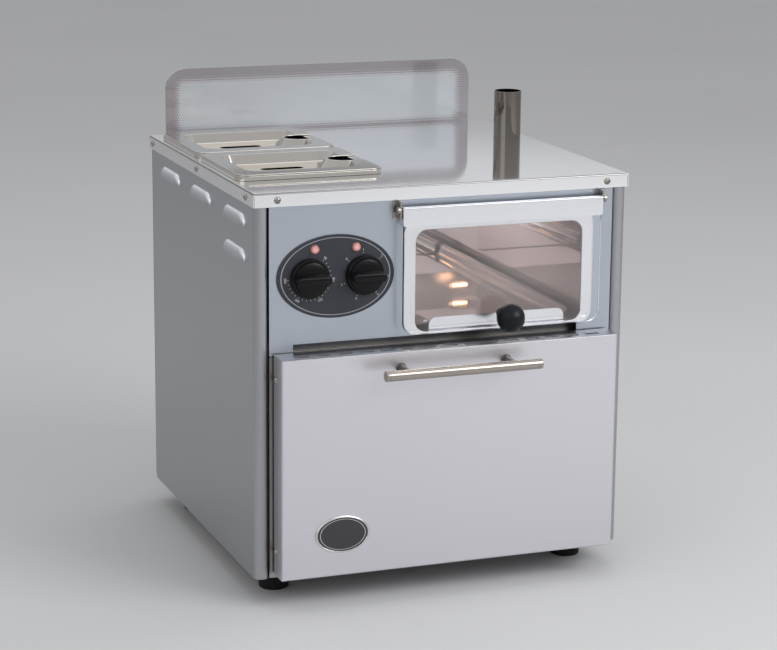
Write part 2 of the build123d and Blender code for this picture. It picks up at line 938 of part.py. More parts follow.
def fan_shaft():
    back = motor_span()[1] + motor_shield_depth - 1
    return rod((0, shaft_front, fan_level), (0, back, fan_level), shaft_radius)


def fan_motor():
    """The stator, its two end shields and the legs that hold it off the liner's back."""
    front, back = motor_span()
    middle = (front + back) / 2
    outline = Pos(0, fan_level) * RectangleRounded(2 * motor_half, 1.8 * motor_half, motor_corner)
    stator = front_plate(outline, front, motor_depth)
    shields = rod(
        (0, front - motor_shield_depth, fan_level),
        (0, back + motor_shield_depth, fan_level),
        motor_shield_radius,
    )
    coil_z = fan_level - motor_half - 2
    coil = rod((-motor_coil_half, middle, coil_z), (motor_coil_half, middle, coil_z), motor_depth / 2)
    motor = stator + shields + coil
    for x in (-1, 1):
        for z in (-1, 1):
            foot_x = x * (motor_half - motor_corner)
            foot_z = fan_level + z * (0.9 * motor_half - motor_corner)
            seat = cavity_back + liner_sheet
            motor += rod((foot_x, seat, foot_z), (foot_x, front + 1, foot_z), motor_leg_radius)
    ends = (front - motor_depth, back + motor_depth)
    bore = rod((0, ends[0], fan_level), (0, ends[1], fan_level), shaft_radius + shaft_clearance)
    return motor - bore


def runner():
    """The fixed channel on the cavity's right wall. Its mouth faces the middle."""
    low, high = runner_level - runner_height / 2, runner_level + runner_height / 2
    inner = cavity_half - runner_depth
    channel = block((inner, cavity_half), (runner_front, runner_back), (low, high))
    groove = (low + runner_sheet, high - runner_sheet)
    channel -= block((inner - 1, cavity_half - runner_sheet), (runner_front - 1, runner_back + 1), groove)
    return channel


def slide_rail():
    """The channel on the rack's right side that slides in the runner."""
    half = runner_height / 2 - runner_sheet - slide_clearance
    low, high = runner_level - half, runner_level + half
    rail = block((rack_outer, rail_outer), (drawer_rear, rail_back), (low, high))
    hollow = (low + rail_sheet, high - rail_sheet)
    rail -= block((rack_outer + rail_sheet, rail_outer + 1), (drawer_rear - 1, rail_back + 1), hollow)
    return rail


def rack_side():
    """The right side of the rack, with a folded front edge, air slots and three shelf ledges."""
    inner = rack_outer - rack_sheet
    skin = [(inner - rack_flange, drawer_rear), (rack_outer, drawer_rear), (rack_outer, rack_back)]
    section = bent_section(skin, rack_sheet, rack_bend)
    side = flat_plate(section, rack_low, rack_high - rack_low)
    for level in ledge_levels.values():
        ledge_x = (inner - ledge_width, inner + rack_sheet / 2)
        side += block(ledge_x, (drawer_rear + ledge_front_gap, rack_back), (level - rack_sheet, level))
    pitch = (rack_back - rack_slot_margin) / rack_slot_count
    middle, upper = ledge_levels["middle"], ledge_levels["upper"]
    for level in (middle - rack_slot_below, middle + rack_slot_above, upper + rack_slot_above):
        for index in range(rack_slot_count):
            y = rack_slot_front + pitch * (index + 0.5)
            slot = Plane(origin=(inner - rack_sheet, y, level), x_dir=(0, 1, 0), z_dir=(1, 0, 0))
            side -= extrude(slot * SlotOverall(rack_slot_length, rack_slot_width), amount=4 * rack_sheet)
    return side


def shelf(level):
    """A wire shelf: a rod frame with bars across it and wires that lie over them."""
    half = rack_outer - rack_sheet - shelf_gap
    radius = shelf_frame_radius
    z = level + radius + shelf_seat_gap
    x_rail, y_front, y_back = half - radius, shelf_front + radius, rack_back - radius
    outline = window((-x_rail, x_rail), (y_front, y_back), shelf_corner)
    path = Pos(0, 0, z) * outline.wires()[0]
    start = Plane(origin=path @ 0, z_dir=path % 0)
    frame = sweep(start * Circle(radius), path=path)
    rods = []
    for step in range(shelf_crossbars):
        y = y_front + (y_back - y_front) * (step + 1) / (shelf_crossbars + 1)
        rods.append(rod((-x_rail, y, z), (x_rail, y, z), radius * 0.9))
    pitch = 2 * x_rail / (shelf_wires + 1)
    top = z + radius
    for index in range(shelf_wires):
        x = -x_rail + pitch * (index + 1)
        rods.append(rod((x, y_front, top), (x, y_back, top), shelf_wire_radius))
    return frame + rods


def drawer_front():
    """The folded front, open at the back, with the row of slots in its upper edge."""
    x = (-drawer_half, drawer_half)
    z = (drawer_bottom, drawer_top)
    panel = block(x, (drawer_front_y, drawer_rear), z)
    panel = fillet(panel.edges().group_by(Axis.Y)[0], drawer_bend)
    sheet = drawer_sheet
    inner_z = (z[0] + sheet, z[1] - sheet)
    panel -= block((x[0] + sheet, x[1] - sheet), (drawer_front_y + sheet, drawer_rear + 1), inner_z)
    slot_y = drawer_front_y + drawer_slot_setback
    for index in range(drawer_slots):
        slot_x = (index - (drawer_slots - 1) / 2) * drawer_slot_pitch
        outline = Pos(slot_x, slot_y) * SlotOverall(drawer_slot_length, drawer_slot_width)
        panel -= flat_plate(outline, drawer_top - 3, 5)
    for place in handle_places():
        panel -= screw_cut(place)
    for place in drawer_screw_places():
        panel -= screw_cut(place)
    return panel


def handle_places():
    return [facing_front(side * handle_spacing / 2, drawer_front_y, handle_level) for side in (-1, 1)]


def drawer_screw_places():
    y = drawer_rear - drawer_screw_setback
    levels = (drawer_bottom + drawer_screw_margin, drawer_top - drawer_screw_margin)
    return [facing_side(side * drawer_half, y, z) for side in (-1, 1) for z in levels]


def drawer_back_panel():
    """The tray that closes the back of the drawer front, with its side edges turned forward."""
    inset = drawer_sheet + drawer_tray_gap
    half = drawer_half - inset
    z = (drawer_bottom + inset, drawer_top - inset)
    y_back = drawer_rear
    y_fold = drawer_rear - drawer_tray_fold
    panel = block((-half, half), (y_fold, y_back), z)
    inner = half - drawer_sheet
    panel -= block((-inner, inner), (y_fold - 1, y_back - drawer_sheet), (z[0] - 1, z[1] + 1))
    for place in drawer_screw_places():
        panel -= screw_cut(place)
    return panel


def drawer_insulation():
    half = drawer_half - 2 * drawer_sheet - drawer_pad_gap
    inset = drawer_sheet + drawer_pad_gap / 2
    z = (drawer_bottom + inset, drawer_top - inset)
    back = drawer_rear - drawer_sheet
    return block((-half, half), (back - drawer_pad, back), z)


def drawer_seal():
    outer_half = cavity_half + seal_margin + seal_width
    z = (cavity_floor - seal_margin - seal_width, cavity_ceiling + liner_sheet + seal_width)
    outline = window((-outer_half, outer_half), z, seal_corner)
    inner_half = outer_half - seal_width
    inner_z = (z[0] + seal_width, z[1] - seal_width)
    outline -= window((-inner_half, inner_half), inner_z, seal_corner - seal_width / 2)
    return front_plate(outline, drawer_rear, drawer_rear_gap - seal_gap)


def handle_bar():
    y = drawer_front_y - handle_reach + handle_radius
    half = handle_length / 2
    bar = rod((-half, y, handle_level), (half, y, handle_level), handle_radius)
    return chamfer(bar.edges(), handle_end_chamfer)


def handle_posts():
    """The two standoffs. Their front ends are hollowed to sit round the bar."""
    bar_y = drawer_front_y - handle_reach + handle_radius
    collar_y = drawer_front_y - handle_collar_height
    posts = []
    for side in (-1, 1):
        x = side * handle_spacing / 2
        foot = (x, drawer_front_y, handle_level)
        post = rod(foot, (x, bar_y, handle_level), handle_post_radius)
        post += rod(foot, (x, collar_y, handle_level), handle_post_radius + handle_collar)
        near, far = x - 2 * handle_radius, x + 2 * handle_radius
        post -= rod((near, bar_y, handle_level), (far, bar_y, handle_level), handle_radius)
        deep = (x, drawer_front_y - handle_tapping, handle_level)
        post -= rod((x, drawer_front_y + 1, handle_level), deep, screw_radius + tapping_gap)
        posts.append(post)
    return Compound([solid for post in posts for solid in post.solids()])


def drawer_screws():
    """The screws at the drawer front's sides and the two that hold the handle from inside."""
    inner = drawer_front_y + drawer_sheet
    planes = [facing_back(side * handle_spacing / 2, inner, handle_level) for side in (-1, 1)]
    handle = [screw(place, handle_screw_reach) for place in planes]
    return Compound(handle + [screw(place, drawer_screw_reach) for place in drawer_screw_places()])


def badge_plate():
    """A plain oval plate with a raised rim."""
    oval = Pos(*badge_place) * Ellipse(badge_half_width, badge_half_height)
    face = Pos(*badge_place) * Ellipse(badge_half_width - badge_rim, badge_half_height - badge_rim)
    plate = front_plate(oval, drawer_front_y - badge_height, badge_height)
    rim = front_plate(oval - face, drawer_front_y - badge_height - badge_rim_height, badge_rim_height)
    return plate + rim


def display_liner():
    sheet = liner_sheet
    left, right = window_left, window_right
    y = (fascia_back, display_back + sheet)
    z = (display_floor - sheet, display_ceiling + sheet)
    box = block((left - sheet, right + sheet), y, z)
    box -= block((left, right), (y[0] - 1, display_back), (display_floor, display_ceiling))
    ends = [(left + step, lamp_setback, lamp_level) for step in (-3 * sheet, 3 * sheet)]
    return box - rod(*ends, lamp_holder_neck + 1)


def display_frame():
    """The bright border round the window, laid on the fascia."""
    x = (window_left - frame_border, window_right + frame_border)
    outer = window(x, (display_floor - frame_overlap, window_top + frame_head_border), frame_corner)
    opening_z = (display_floor + frame_sill, window_top)
    opening = window((window_left, window_right), opening_z, window_corner)
    frame = front_plate(outer - opening, fascia_front - frame_sheet, frame_sheet)
    return fillet(frame.edges().group_by(Axis.Y)[0], frame_edge_fillet)


def display_tray():
    """The lift-out tray on the cabinet's floor. Its side edges are rolled outwards."""
    half = display_width / 2 - tray_side_gap
    middle = display_middle + tray_shift
    x = (middle - half, middle + half)
    low = display_floor + tray_seat_gap
    high = low + tray_height
    tray = block(x, (tray_front, tray_back), (low, high))
    inner_x = (x[0] + tray_sheet, x[1] - tray_sheet)
    inner_y = (tray_front + tray_sheet, tray_back - tray_sheet)
    tray -= block(inner_x, inner_y, (low + tray_sheet, high + 1))
    for edge, outward in ((x[0], -1), (x[1], 1)):
        rim_x = sorted((edge, edge + outward * tray_rim))
        tray += block(rim_x, (tray_front, tray_back), (high - tray_sheet, high))
        bead_x, bead_z = edge + outward * tray_rim, high - tray_bead
        tray += rod((bead_x, tray_front, bead_z), (bead_x, tray_back, bead_z), tray_bead)
    return tray


def lamp_holder():
    """The holder's flange inside the cabinet and its body through the cabinet's left side."""
    start = window_left - lamp_holder_reach
    at_y, at_z = lamp_setback, lamp_level
    flange_end = (window_left + lamp_holder_flange, at_y, at_z)
    flange = rod((window_left, at_y, at_z), flange_end, lamp_holder_radius)
    body = rod((start, at_y, at_z), (start + lamp_holder_length, at_y, at_z), lamp_holder_neck)
    return flange + body


def display_lamp():
    start = window_left - lamp_holder_reach + lamp_holder_length
    dome = lamp_length - lamp_radius
    outline = Polyline(
        (0, 0),
        (lamp_cap_radius, 0),
        (lamp_radius, lamp_cap),
        (lamp_radius, dome),
        (0, dome),
        close=True,
    )
    bulb = revolve(Plane.XZ * make_face(outline), Axis.Z)
    bulb += Pos(0, 0, dome) * Sphere(lamp_radius)
    return Plane(origin=(start, lamp_setback, lamp_level), z_dir=(1, 0, 0)) * bulb


def door_rail_ends():
    half = door_glass_width / 2 + door_rail_gap
    return display_middle - half, display_middle + half


def hinge_rail():
    """The folded rail that grips the glass. Its ends are closed by ears that carry the pins."""
    left, right = door_rail_ends()
    sheet = door_rail_sheet
    front = door_glass_front - door_rail_gap - sheet
    back = door_glass_front + door_glass_sheet + door_rail_gap
    skin = [
        (back + sheet, door_rail_foot + door_rail_back_rise),
        (back + sheet, door_rail_top),
        (front, door_rail_top),
        (front, door_rail_foot),
    ]
    section = bent_section(skin, sheet, door_rail_bend)
    rail = extrude(Plane.YZ.offset(left) * section, amount=right - left)
    ear = window((front, front + door_rail_ear), (door_rail_foot, door_rail_top), door_rail_ear_corner)
    ear -= Pos(hinge_y, hinge_z) * Circle(hinge_pin_radius + hinge_clearance)
    for x in (left - sheet, right):
        rail += extrude(Plane.YZ.offset(x) * ear, amount=sheet)
    room = hinge_pin_radius + hinge_room
    room_y, room_z = (hinge_y - room, hinge_y + room), (hinge_z - room, hinge_z + room)
    for x in (left, right - hinge_room_length):
        rail -= block((x, x + hinge_room_length), room_y, room_z)
    return rail


def door_glass():
    half = door_glass_width / 2
    x = (display_middle - half, display_middle + half)
    top = door_rail_top - door_rail_sheet - door_glass_top_gap
    outline = window(x, (display_floor + door_glass_foot_gap, top), door_glass_corner)
    outline += window(x, (top - door_glass_head, top), 1)
    outline -= Pos(display_middle, ball_level) * Circle(ball_hole_radius)
    corner_room = Rectangle(2 * door_glass_cut, 2 * (top - hinge_z + hinge_room_length))
    for edge in x:
        outline -= Pos(edge, top) * corner_room
    return front_plate(outline, door_glass_front, door_glass_sheet)


def door_knob():
    """A ball on a short neck, drawn along its own axis and turned to face the front."""
    neck_end = math.sqrt(ball_radius ** 2 - ball_neck_radius ** 2)
    ball = Pos(0, 0, ball_reach) * Sphere(ball_radius)
    neck = Pos(0, 0, (ball_reach - neck_end + 1) / 2) * Cylinder(ball_neck_radius, ball_reach - neck_end + 1)
    tapping = Cylinder(ball_screw_radius + tapping_gap, 2 * ball_tapping)
    return facing_front(display_middle, door_glass_front, ball_level) * (ball + neck - tapping)


def door_knob_screw():
    back = door_glass_front + door_glass_sheet
    depths = [back, back + ball_washer_sheet, back + ball_washer_sheet + ball_screw_head_height]
    seat, washer, head = [(display_middle, y, ball_level) for y in depths]
    tip = (display_middle, door_glass_front - ball_screw_reach, ball_level)
    piece = rod(seat, washer, ball_washer) + rod(washer, head, ball_screw_head)
    return piece + rod(seat, tip, ball_screw_radius)


def hinge_sides():
    """For each end of the rail, the outward direction and the inner face of its bracket."""
    left, right = door_rail_ends()
    step = door_rail_sheet + hinge_side_gap
    return [(-1, left - step), (1, right + step)]


def hinge_brackets():
    """Two angles on the fascia that carry the hinge pins."""
    brackets = []
    z = (hinge_z - bracket_height / 2, hinge_z + bracket_height / 2)
    for outward, face in hinge_sides():
        plate_x = sorted((face, face + outward * bracket_sheet))
        foot_x = sorted((face, face + outward * bracket_width))
        plate = block(plate_x, (fascia_front - bracket_reach, fascia_front), z)
        foot_plate = block(foot_x, (fascia_front - bracket_sheet, fascia_front), z)
        ends = [(face + step, hinge_y, hinge_z) for step in (-bracket_width, bracket_width)]
        hole = rod(*ends, hinge_pin_radius + tapping_gap)
        brackets.append(plate + foot_plate - hole)
    return Compound([solid for bracket in brackets for solid in bracket.solids()])


def hinge_screws():
    """The headed pins that the door swings on."""
    pins = []
    for outward, face in hinge_sides():
        outer = face + outward * bracket_sheet
        inner = face - outward * (hinge_side_gap + door_rail_sheet + hinge_pin_tip)
        pin = rod((outer, hinge_y, hinge_z), (inner, hinge_y, hinge_z), hinge_pin_radius)
        tip = outer + outward * hinge_head_height
        pins.append(pin + rod((outer, hinge_y, hinge_z), (tip, hinge_y, hinge_z), hinge_head_radius))
    return Compound([solid for pin in pins for solid in pin.solids()])


def control_plate():
    outline = Pos(*plate_middle) * Ellipse(plate_half_width, plate_half_height)
    for x in knob_places.values():
        outline -= Pos(x, knob_level) * Circle(control_bush_radius + control_bush_gap)
    for x in neon_places:
        outline -= Pos(x, neon_level) * Circle(neon_radius + neon_gap)
    return front_plate(outline, fascia_front - plate_sheet, plate_sheet)


def knob(x):
    """A skirted knob with a raised grip bar across it."""
    back = fascia_front - plate_sheet - knob_gap
    outline = Polyline(
        (0, 0),
        (knob_radius, 0),
        (knob_radius, knob_skirt - knob_skirt_bevel),
        (knob_radius - knob_skirt_bevel, knob_skirt),
        (0, knob_skirt),
        close=True,
    )
    body = revolve(Plane.XZ * make_face(outline), Axis.Z)
    bar = SlotOverall(knob_grip_length, knob_grip_width)
    grip = extrude(bar, amount=knob_height, taper=knob_grip_taper)
    body += fillet(grip.edges().group_by(Axis.Z)[-1], knob_grip_fillet)
    socket = Cylinder(spindle_radius + tapping_gap, 2 * spindle_front + knob_gap)
    return facing_front(x, back, knob_level) * (body - socket)


def spindle(x):
    front = fascia_front - plate_sheet - knob_gap - spindle_front
    back = fascia_back + spindle_depth
    return rod((x, front, knob_level), (x, back, knob_level), spindle_radius)


def control_body(x):
    """The switch or thermostat behind the fascia, with its bush through it."""
    outline = Pos(x, knob_level) * RectangleRounded(control_size, control_size, control_corner)
    body = front_plate(outline, fascia_back, control_depth)
    bush_front = fascia_front - plate_sheet + control_bush_gap
    body += rod((x, bush_front, knob_level), (x, fascia_back + 1, knob_level), control_bush_radius)
    back = fascia_back + control_depth
    tag_x = (x - control_tag_width, x + control_tag_width)
    for step in (-1, 0, 1):
        z = knob_level + step * control_tag_pitch
        body += block(tag_x, (back, back + control_tag_length), (z - control_tag_half, z + control_tag_half))
    bore_end = (x, fascia_back + spindle_depth + spindle_end_gap, knob_level)
    return body - rod((x, bush_front - 1, knob_level), bore_end, spindle_radius + spindle_clearance)


def neon_lamps():
    lamps = []
    front = fascia_front - plate_sheet
    for x in neon_places:
        lamp = rod((x, front - neon_proud, neon_level), (x, front + neon_length, neon_level), neon_radius)
        lamps.append(fillet(lamp.edges().group_by(Axis.Y)[0], neon_dome))
    return Compound([solid for lamp in lamps for solid in lamp.solids()])


def pan(middle_y_pan):
    """A pan with tapered walls and a rim that is turned down round its edge."""
    sheet = pan_sheet
    taper = pan_body_taper
    place = Pos(pan_middle_x, middle_y_pan, pan_rim_top)
    outline = RectangleRounded(pan_body_length, pan_body_width, pan_body_corner)
    inner_length, inner_width = pan_body_length - 2 * sheet, pan_body_width - 2 * sheet
    inner_outline = RectangleRounded(inner_length, inner_width, pan_body_corner - sheet)
    body = extrude(outline, amount=-pan_depth, taper=taper)
    body = fillet(body.edges().group_by(Axis.Z)[0], pan_foot_fillet)
    hollow = extrude(inner_outline, amount=sheet - pan_depth, taper=taper)
    hollow = fillet(hollow.edges().group_by(Axis.Z)[0], pan_foot_fillet - sheet)
    hollow += flat_plate(inner_outline, 0, 1)
    rim_outline = RectangleRounded(pan_length, pan_width, pan_corner)
    under = RectangleRounded(pan_length - 2 * sheet, pan_width - 2 * sheet, pan_corner - sheet)
    rim = flat_plate(rim_outline, -pan_rim_height, pan_rim_height)
    rim = fillet(rim.edges().group_by(Axis.Z)[-1], pan_rim_fillet)
    rim -= flat_plate(under, -pan_rim_height - 1, pan_rim_height + 1 - sheet)
    return place * (rim + body - hollow)


def lid(middle_y_lid):
    """A flat lid with a sunken middle, two finger slots and a ladle notch with a sloping collar."""
    sheet, depth = lid_sheet, lid_recess_depth
    slope = math.tan(math.radians(lid_recess_taper))
    notch_x = pan_length / 2 - lid_inset - lid_notch_inset
    collar_radius = lid_notch_radius + lid_notch_land
    outer = (pan_length - 2 * lid_inset, pan_width - 2 * lid_inset)
    plate = flat_plate(RectangleRounded(*outer, pan_corner - lid_inset), -sheet, sheet)

    def sunken(inset, deep):
        """The sunken part, which goes round the collar of the notch."""
        length, width = lid_recess_length - 2 * inset, lid_recess_width - 2 * inset
        outline = RectangleRounded(length, width, lid_recess_corner - inset)
        bowl = extrude(outline, amount=-deep, taper=lid_recess_taper)
        radius = collar_radius + inset
        return bowl - Pos(notch_x, 0, -deep / 2) * Cone(radius + deep * slope, radius, deep)

    hollow = sunken(sheet, depth - sheet)
    hollow = fillet(hollow.edges().group_by(Axis.Z)[0], lid_recess_fillet)
    mouth = hollow.faces().sort_by(Axis.Z)[-1]
    shape = plate + sunken(0, depth) - hollow - extrude(mouth, amount=sheet)
    cut = Pos(notch_x, 0) * Circle(lid_notch_radius)
    cut += Pos(notch_x + lid_notch_inset, 0) * Rectangle(2 * lid_notch_inset, 2 * lid_notch_radius)
    for side in (-1, 1):
        cut += Pos(lid_slot_shift, side * lid_slot_spread) * SlotOverall(lid_slot_length, lid_slot_width)
    shape -= flat_plate(cut, -2 * depth, 3 * depth)
    upper = shape.edges().group_by(Axis.Z)[-1]
    shape = fillet(upper, lid_edge_fillet)
    return Pos(pan_middle_x, middle_y_lid, lid_bottom + sheet) * shape


def well_liner():
    top = worktop_top - worktop_sheet
    sheet = well_sheet
    outside = sheet + well_gap
    shell = flat_plate(well_outline(outside), well_floor - sheet, top - well_floor + sheet)
    shell += flat_plate(well_outline(outside + well_lip), top - sheet, sheet)
    return shell - flat_plate(well_outline(well_gap), well_floor, top - well_floor + 1)


def well_element():
    """A long loop of heater tube clamped under the well's floor."""
    radius = well_element_radius
    z = well_floor - well_sheet - radius - well_element_gap
    turn = well_element_turn
    y_front = pan_middles_y["front"] - well_element_front
    y_back = pan_middles_y["rear"] + well_element_back
    loop = Part()
    for side in (-1, 1):
        x = pan_middle_x + side * turn
        loop += rod((x, y_front, z), (x, y_back, z), radius)
    ring = Wire.make_circle(radius, Plane(origin=(turn, 0, 0), z_dir=(0, 1, 0)))
    bend = revolve(make_face(ring.edges()), Axis.Z, revolution_arc=180)
    return loop + Pos(pan_middle_x, y_back, z) * bend


def casing_screws():
    """The screws of the worktop, the rear cover and the guard."""
    short = [screw(place) for place in worktop_screw_places() + rear_screw_places()]
    return Compound(short + [screw(place, guard_sheet + screw_reach) for place in guard_screw_planes()])


def guard_panel():
    """The upright panel, screwed to the back of the worktop's rear edge."""
    low = worktop_top - guard_overlap
    high = worktop_top + guard_rise
    outline = window((-guard_half, guard_half), (low, high), guard_corner)
    outline += window((-guard_half, guard_half), (low, low + 2 * guard_corner), guard_foot_corner)
    panel = front_plate(outline, worktop_depth + guard_gap, guard_sheet)
    for place in guard_screw_planes():
        panel -= screw_cut(place)
    return panel


def cable_gland():
    """The empty gland for the supply cord: flange, domed nut, threaded body and the nut inside."""
    x, z = gland_place
    length = gland_length
    outline = Polyline(
        (gland_bore, 0),
        (gland_flange, 0),
        (gland_flange, gland_flange_height),
        (gland_flange - gland_shoulder, gland_flange_height),
        (gland_flange - gland_shoulder, length - gland_dome),
        (gland_bore + gland_shoulder, length),
        (gland_bore, length),
        close=True,
    )
    outside = revolve(Plane.XZ * make_face(outline), Axis.Z)
    inside_length = rear_sheet + gland_nut_height + gland_thread_end
    thread = Pos(0, 0, -inside_length / 2) * Cylinder(gland_thread, inside_length)
    nut = extrude(RegularPolygon(gland_flange, 6), amount=gland_nut_height)
    nut = Pos(0, 0, -rear_sheet - gland_nut_height) * nut
    bore = Cylinder(gland_bore, 4 * length)
    return facing_back(x, casing_back, z) * (outside + thread + nut - bore)


def terminal_block():
    """The screw terminals on the inside of the rear cover, above the gland."""
    x, z = gland_place
    low = z + terminal_rise
    back = rear_inner - terminal_base
    base = block((x - terminal_half, x + terminal_half), (back, rear_inner), (low, low + terminal_height))
    block_z = (low + terminal_base, low + terminal_height - terminal_base)
    for index in range(terminal_count):
        near = x - terminal_half + terminal_base + index * terminal_pitch
        base += block((near, near + terminal_width), (rear_inner - terminal_depth, back), block_z)
    return base


def mirrored(shape):
    return mirror(shape, about=Plane.YZ)


def pair(shape):
    """A right-hand piece and its mirror image, as two solids of one node."""
    return Compound(mirrored(shape).solids() + shape.solids())


pieces = {
    "worktop": worktop(),
    "side_panel_left": side_panel(),
    "side_panel_right": mirrored(side_panel()),
    "rear_cover": rear_cover(),
    "base_plate": base_plate(),
    "fascia": fascia(),
    "feet": Compound([foot(x, y) for x, y in foot_places()]),
    "foot_studs": foot_studs(),
    "casing_screws": casing_screws(),
    "oven_liner": oven_liner(),
    "oven_insulation": oven_insulation(),
    "rear_baffle": rear_baffle(),
    "ring_element": ring_element(),
    "fan_wheel": fan_wheel(),
    "fan_shaft": fan_shaft(),
    "fan_motor": fan_motor(),
    "runners": pair(runner()),
    "slide_rails": pair(slide_rail()),
    "rack_side_left": mirrored(rack_side()),
    "rack_side_right": rack_side(),
    "lower_shelf": shelf(ledge_levels["lower"]),
    "middle_shelf": shelf(ledge_levels["middle"]),
    "upper_shelf": shelf(ledge_levels["upper"]),
    "drawer_front": drawer_front(),
    "drawer_back_panel": drawer_back_panel(),
    "drawer_insulation": drawer_insulation(),
    "drawer_seal": drawer_seal(),
    "drawer_screws": drawer_screws(),
    "handle_bar": handle_bar(),
    "handle_posts": handle_posts(),
    "badge_plate": badge_plate(),
    "flue_duct": flue_duct(),
    "flue_tube": flue_tube(),
    "display_liner": display_liner(),
    "display_frame": display_frame(),
    "display_tray": display_tray(),
    "lamp_holder": lamp_holder(),
    "display_lamp": display_lamp(),
    "hinge_rail": hinge_rail(),
    "door_glass": door_glass(),
    "door_knob": door_knob(),
    "door_knob_screw": door_knob_screw(),
    "hinge_brackets": hinge_brackets(),
    "hinge_screws": hinge_screws(),
    "control_plate": control_plate(),
    "control_bodies": Compound([body for x in knob_places.values() for body in control_body(x).solids()]),
    "neon_lamps": neon_lamps(),
    "well_liner": well_liner(),
    "well_element": well_element(),
    "guard_panel": guard_panel(),
    "cable_gland": cable_gland(),
    "terminal_block": terminal_block(),
}
for name, x in knob_places.items():
    pieces[f"{name}_knob"] = knob(x)
    pieces[f"{name}_spindle"] = spindle(x)
for name, middle in pan_middles_y.items():
    pieces[f"{name}_pan"] = pan(middle)
    pieces[f"{name}_lid"] = lid(middle)

os.makedirs("parts", exist_ok=True)
for name, shape in pieces.items():
    export_step(Pos(0, -middle_y, 0) * shape, f"parts/{name}.step")
print(len(pieces), "pieces; origin", round(middle_y, 3), "mm behind the worktop's front edge")
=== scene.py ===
import math
import bmesh
import bpy
from mathutils import Matrix, Vector


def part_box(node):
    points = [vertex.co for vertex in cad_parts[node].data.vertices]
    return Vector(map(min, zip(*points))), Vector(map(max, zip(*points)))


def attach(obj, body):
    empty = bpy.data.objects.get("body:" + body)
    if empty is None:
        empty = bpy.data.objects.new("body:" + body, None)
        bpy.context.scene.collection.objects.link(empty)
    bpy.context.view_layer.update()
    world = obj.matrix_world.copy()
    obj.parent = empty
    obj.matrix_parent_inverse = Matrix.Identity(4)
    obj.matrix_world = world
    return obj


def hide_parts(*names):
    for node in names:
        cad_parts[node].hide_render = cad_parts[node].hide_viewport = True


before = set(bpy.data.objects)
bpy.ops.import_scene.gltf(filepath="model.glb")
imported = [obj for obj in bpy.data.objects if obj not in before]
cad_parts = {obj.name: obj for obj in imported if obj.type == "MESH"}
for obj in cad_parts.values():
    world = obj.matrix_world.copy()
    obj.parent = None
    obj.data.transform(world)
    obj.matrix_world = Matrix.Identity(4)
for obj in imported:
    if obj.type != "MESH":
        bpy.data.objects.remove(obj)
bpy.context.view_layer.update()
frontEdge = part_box("worktop")[0].y  # the worktop's front edge, from which depths are counted
print("frame loaded:", len(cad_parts), "nodes")


def at(x, y, z):  # a place in millimetres, with y counted back from that edge
    return Vector((x / 1000, frontEdge + y / 1000, z / 1000))


# Shader formulas. A Flow is one socket's value, and sums and products of Flows add Math nodes.
class Flow:
    def __init__(self, graph, socket):
        self.graph = graph
        self.socket = socket

    def maths(self, operation, *values):
        return self.graph.node("ShaderNodeMath", {"operation": operation}, dict(enumerate(values)))

    def __add__(self, other):
        return self.maths("ADD", self, other)

    def __sub__(self, other):
        return self.maths("SUBTRACT", self, other)

    def __mul__(self, other):
        return self.maths("MULTIPLY", self, other)

    def __truediv__(self, other):
        return self.maths("DIVIDE", self, other)

    def __pow__(self, other):
        return self.maths("POWER", self, other)

    def __radd__(self, other):
        return self.maths("ADD", other, self)

    def __rsub__(self, other):
        return self.maths("SUBTRACT", other, self)

    def size(self):
        return self.maths("ABSOLUTE", self)

    def above(self, other):
        return self.maths("GREATER_THAN", self, other)

    def below(self, other):
        return self.maths("LESS_THAN", self, other)

    def atLeast(self, other):
        return self.maths("MAXIMUM", self, other)

    def atMost(self, other):
        return self.maths("MINIMUM", self, other)

    def root(self):
        return self.maths("SQRT", self)

    def whole(self):
        return self.maths("FLOOR", self)

    def part(self):
        return self.maths("FRACT", self)

    def near(self, other, width):  # 1 where the two values lie within the width
        return self.maths("COMPARE", self, other, width)


class Graph:
    def __init__(self, tree):
        self.tree = tree

    def node(self, kind, settings=None, inputs=None, output=0):
        made = self.tree.nodes.new(kind)
        for key, value in (settings or {}).items():
            if key == "stops":  # for a colour ramp, which starts with two stops of its own
                ramp = made.color_ramp.elements
                ramp.remove(ramp[1])
                ramp[0].position, ramp[0].color = value[0][0], (*value[0][1], 1)
                for stop, colour in value[1:]:
                    ramp.new(stop).color = (*colour, 1)
            else:
                setattr(made, key, value)
        for key, value in (inputs or {}).items():
            self.join(made.inputs[key], value)
        return Flow(self, made.outputs[output])

    def join(self, socket, value):
        if isinstance(value, Flow):
            self.tree.links.new(value.socket, socket)
        elif isinstance(value, tuple) and socket.type == "RGBA":
            socket.default_value = (*value, 1)
        else:
            socket.default_value = value


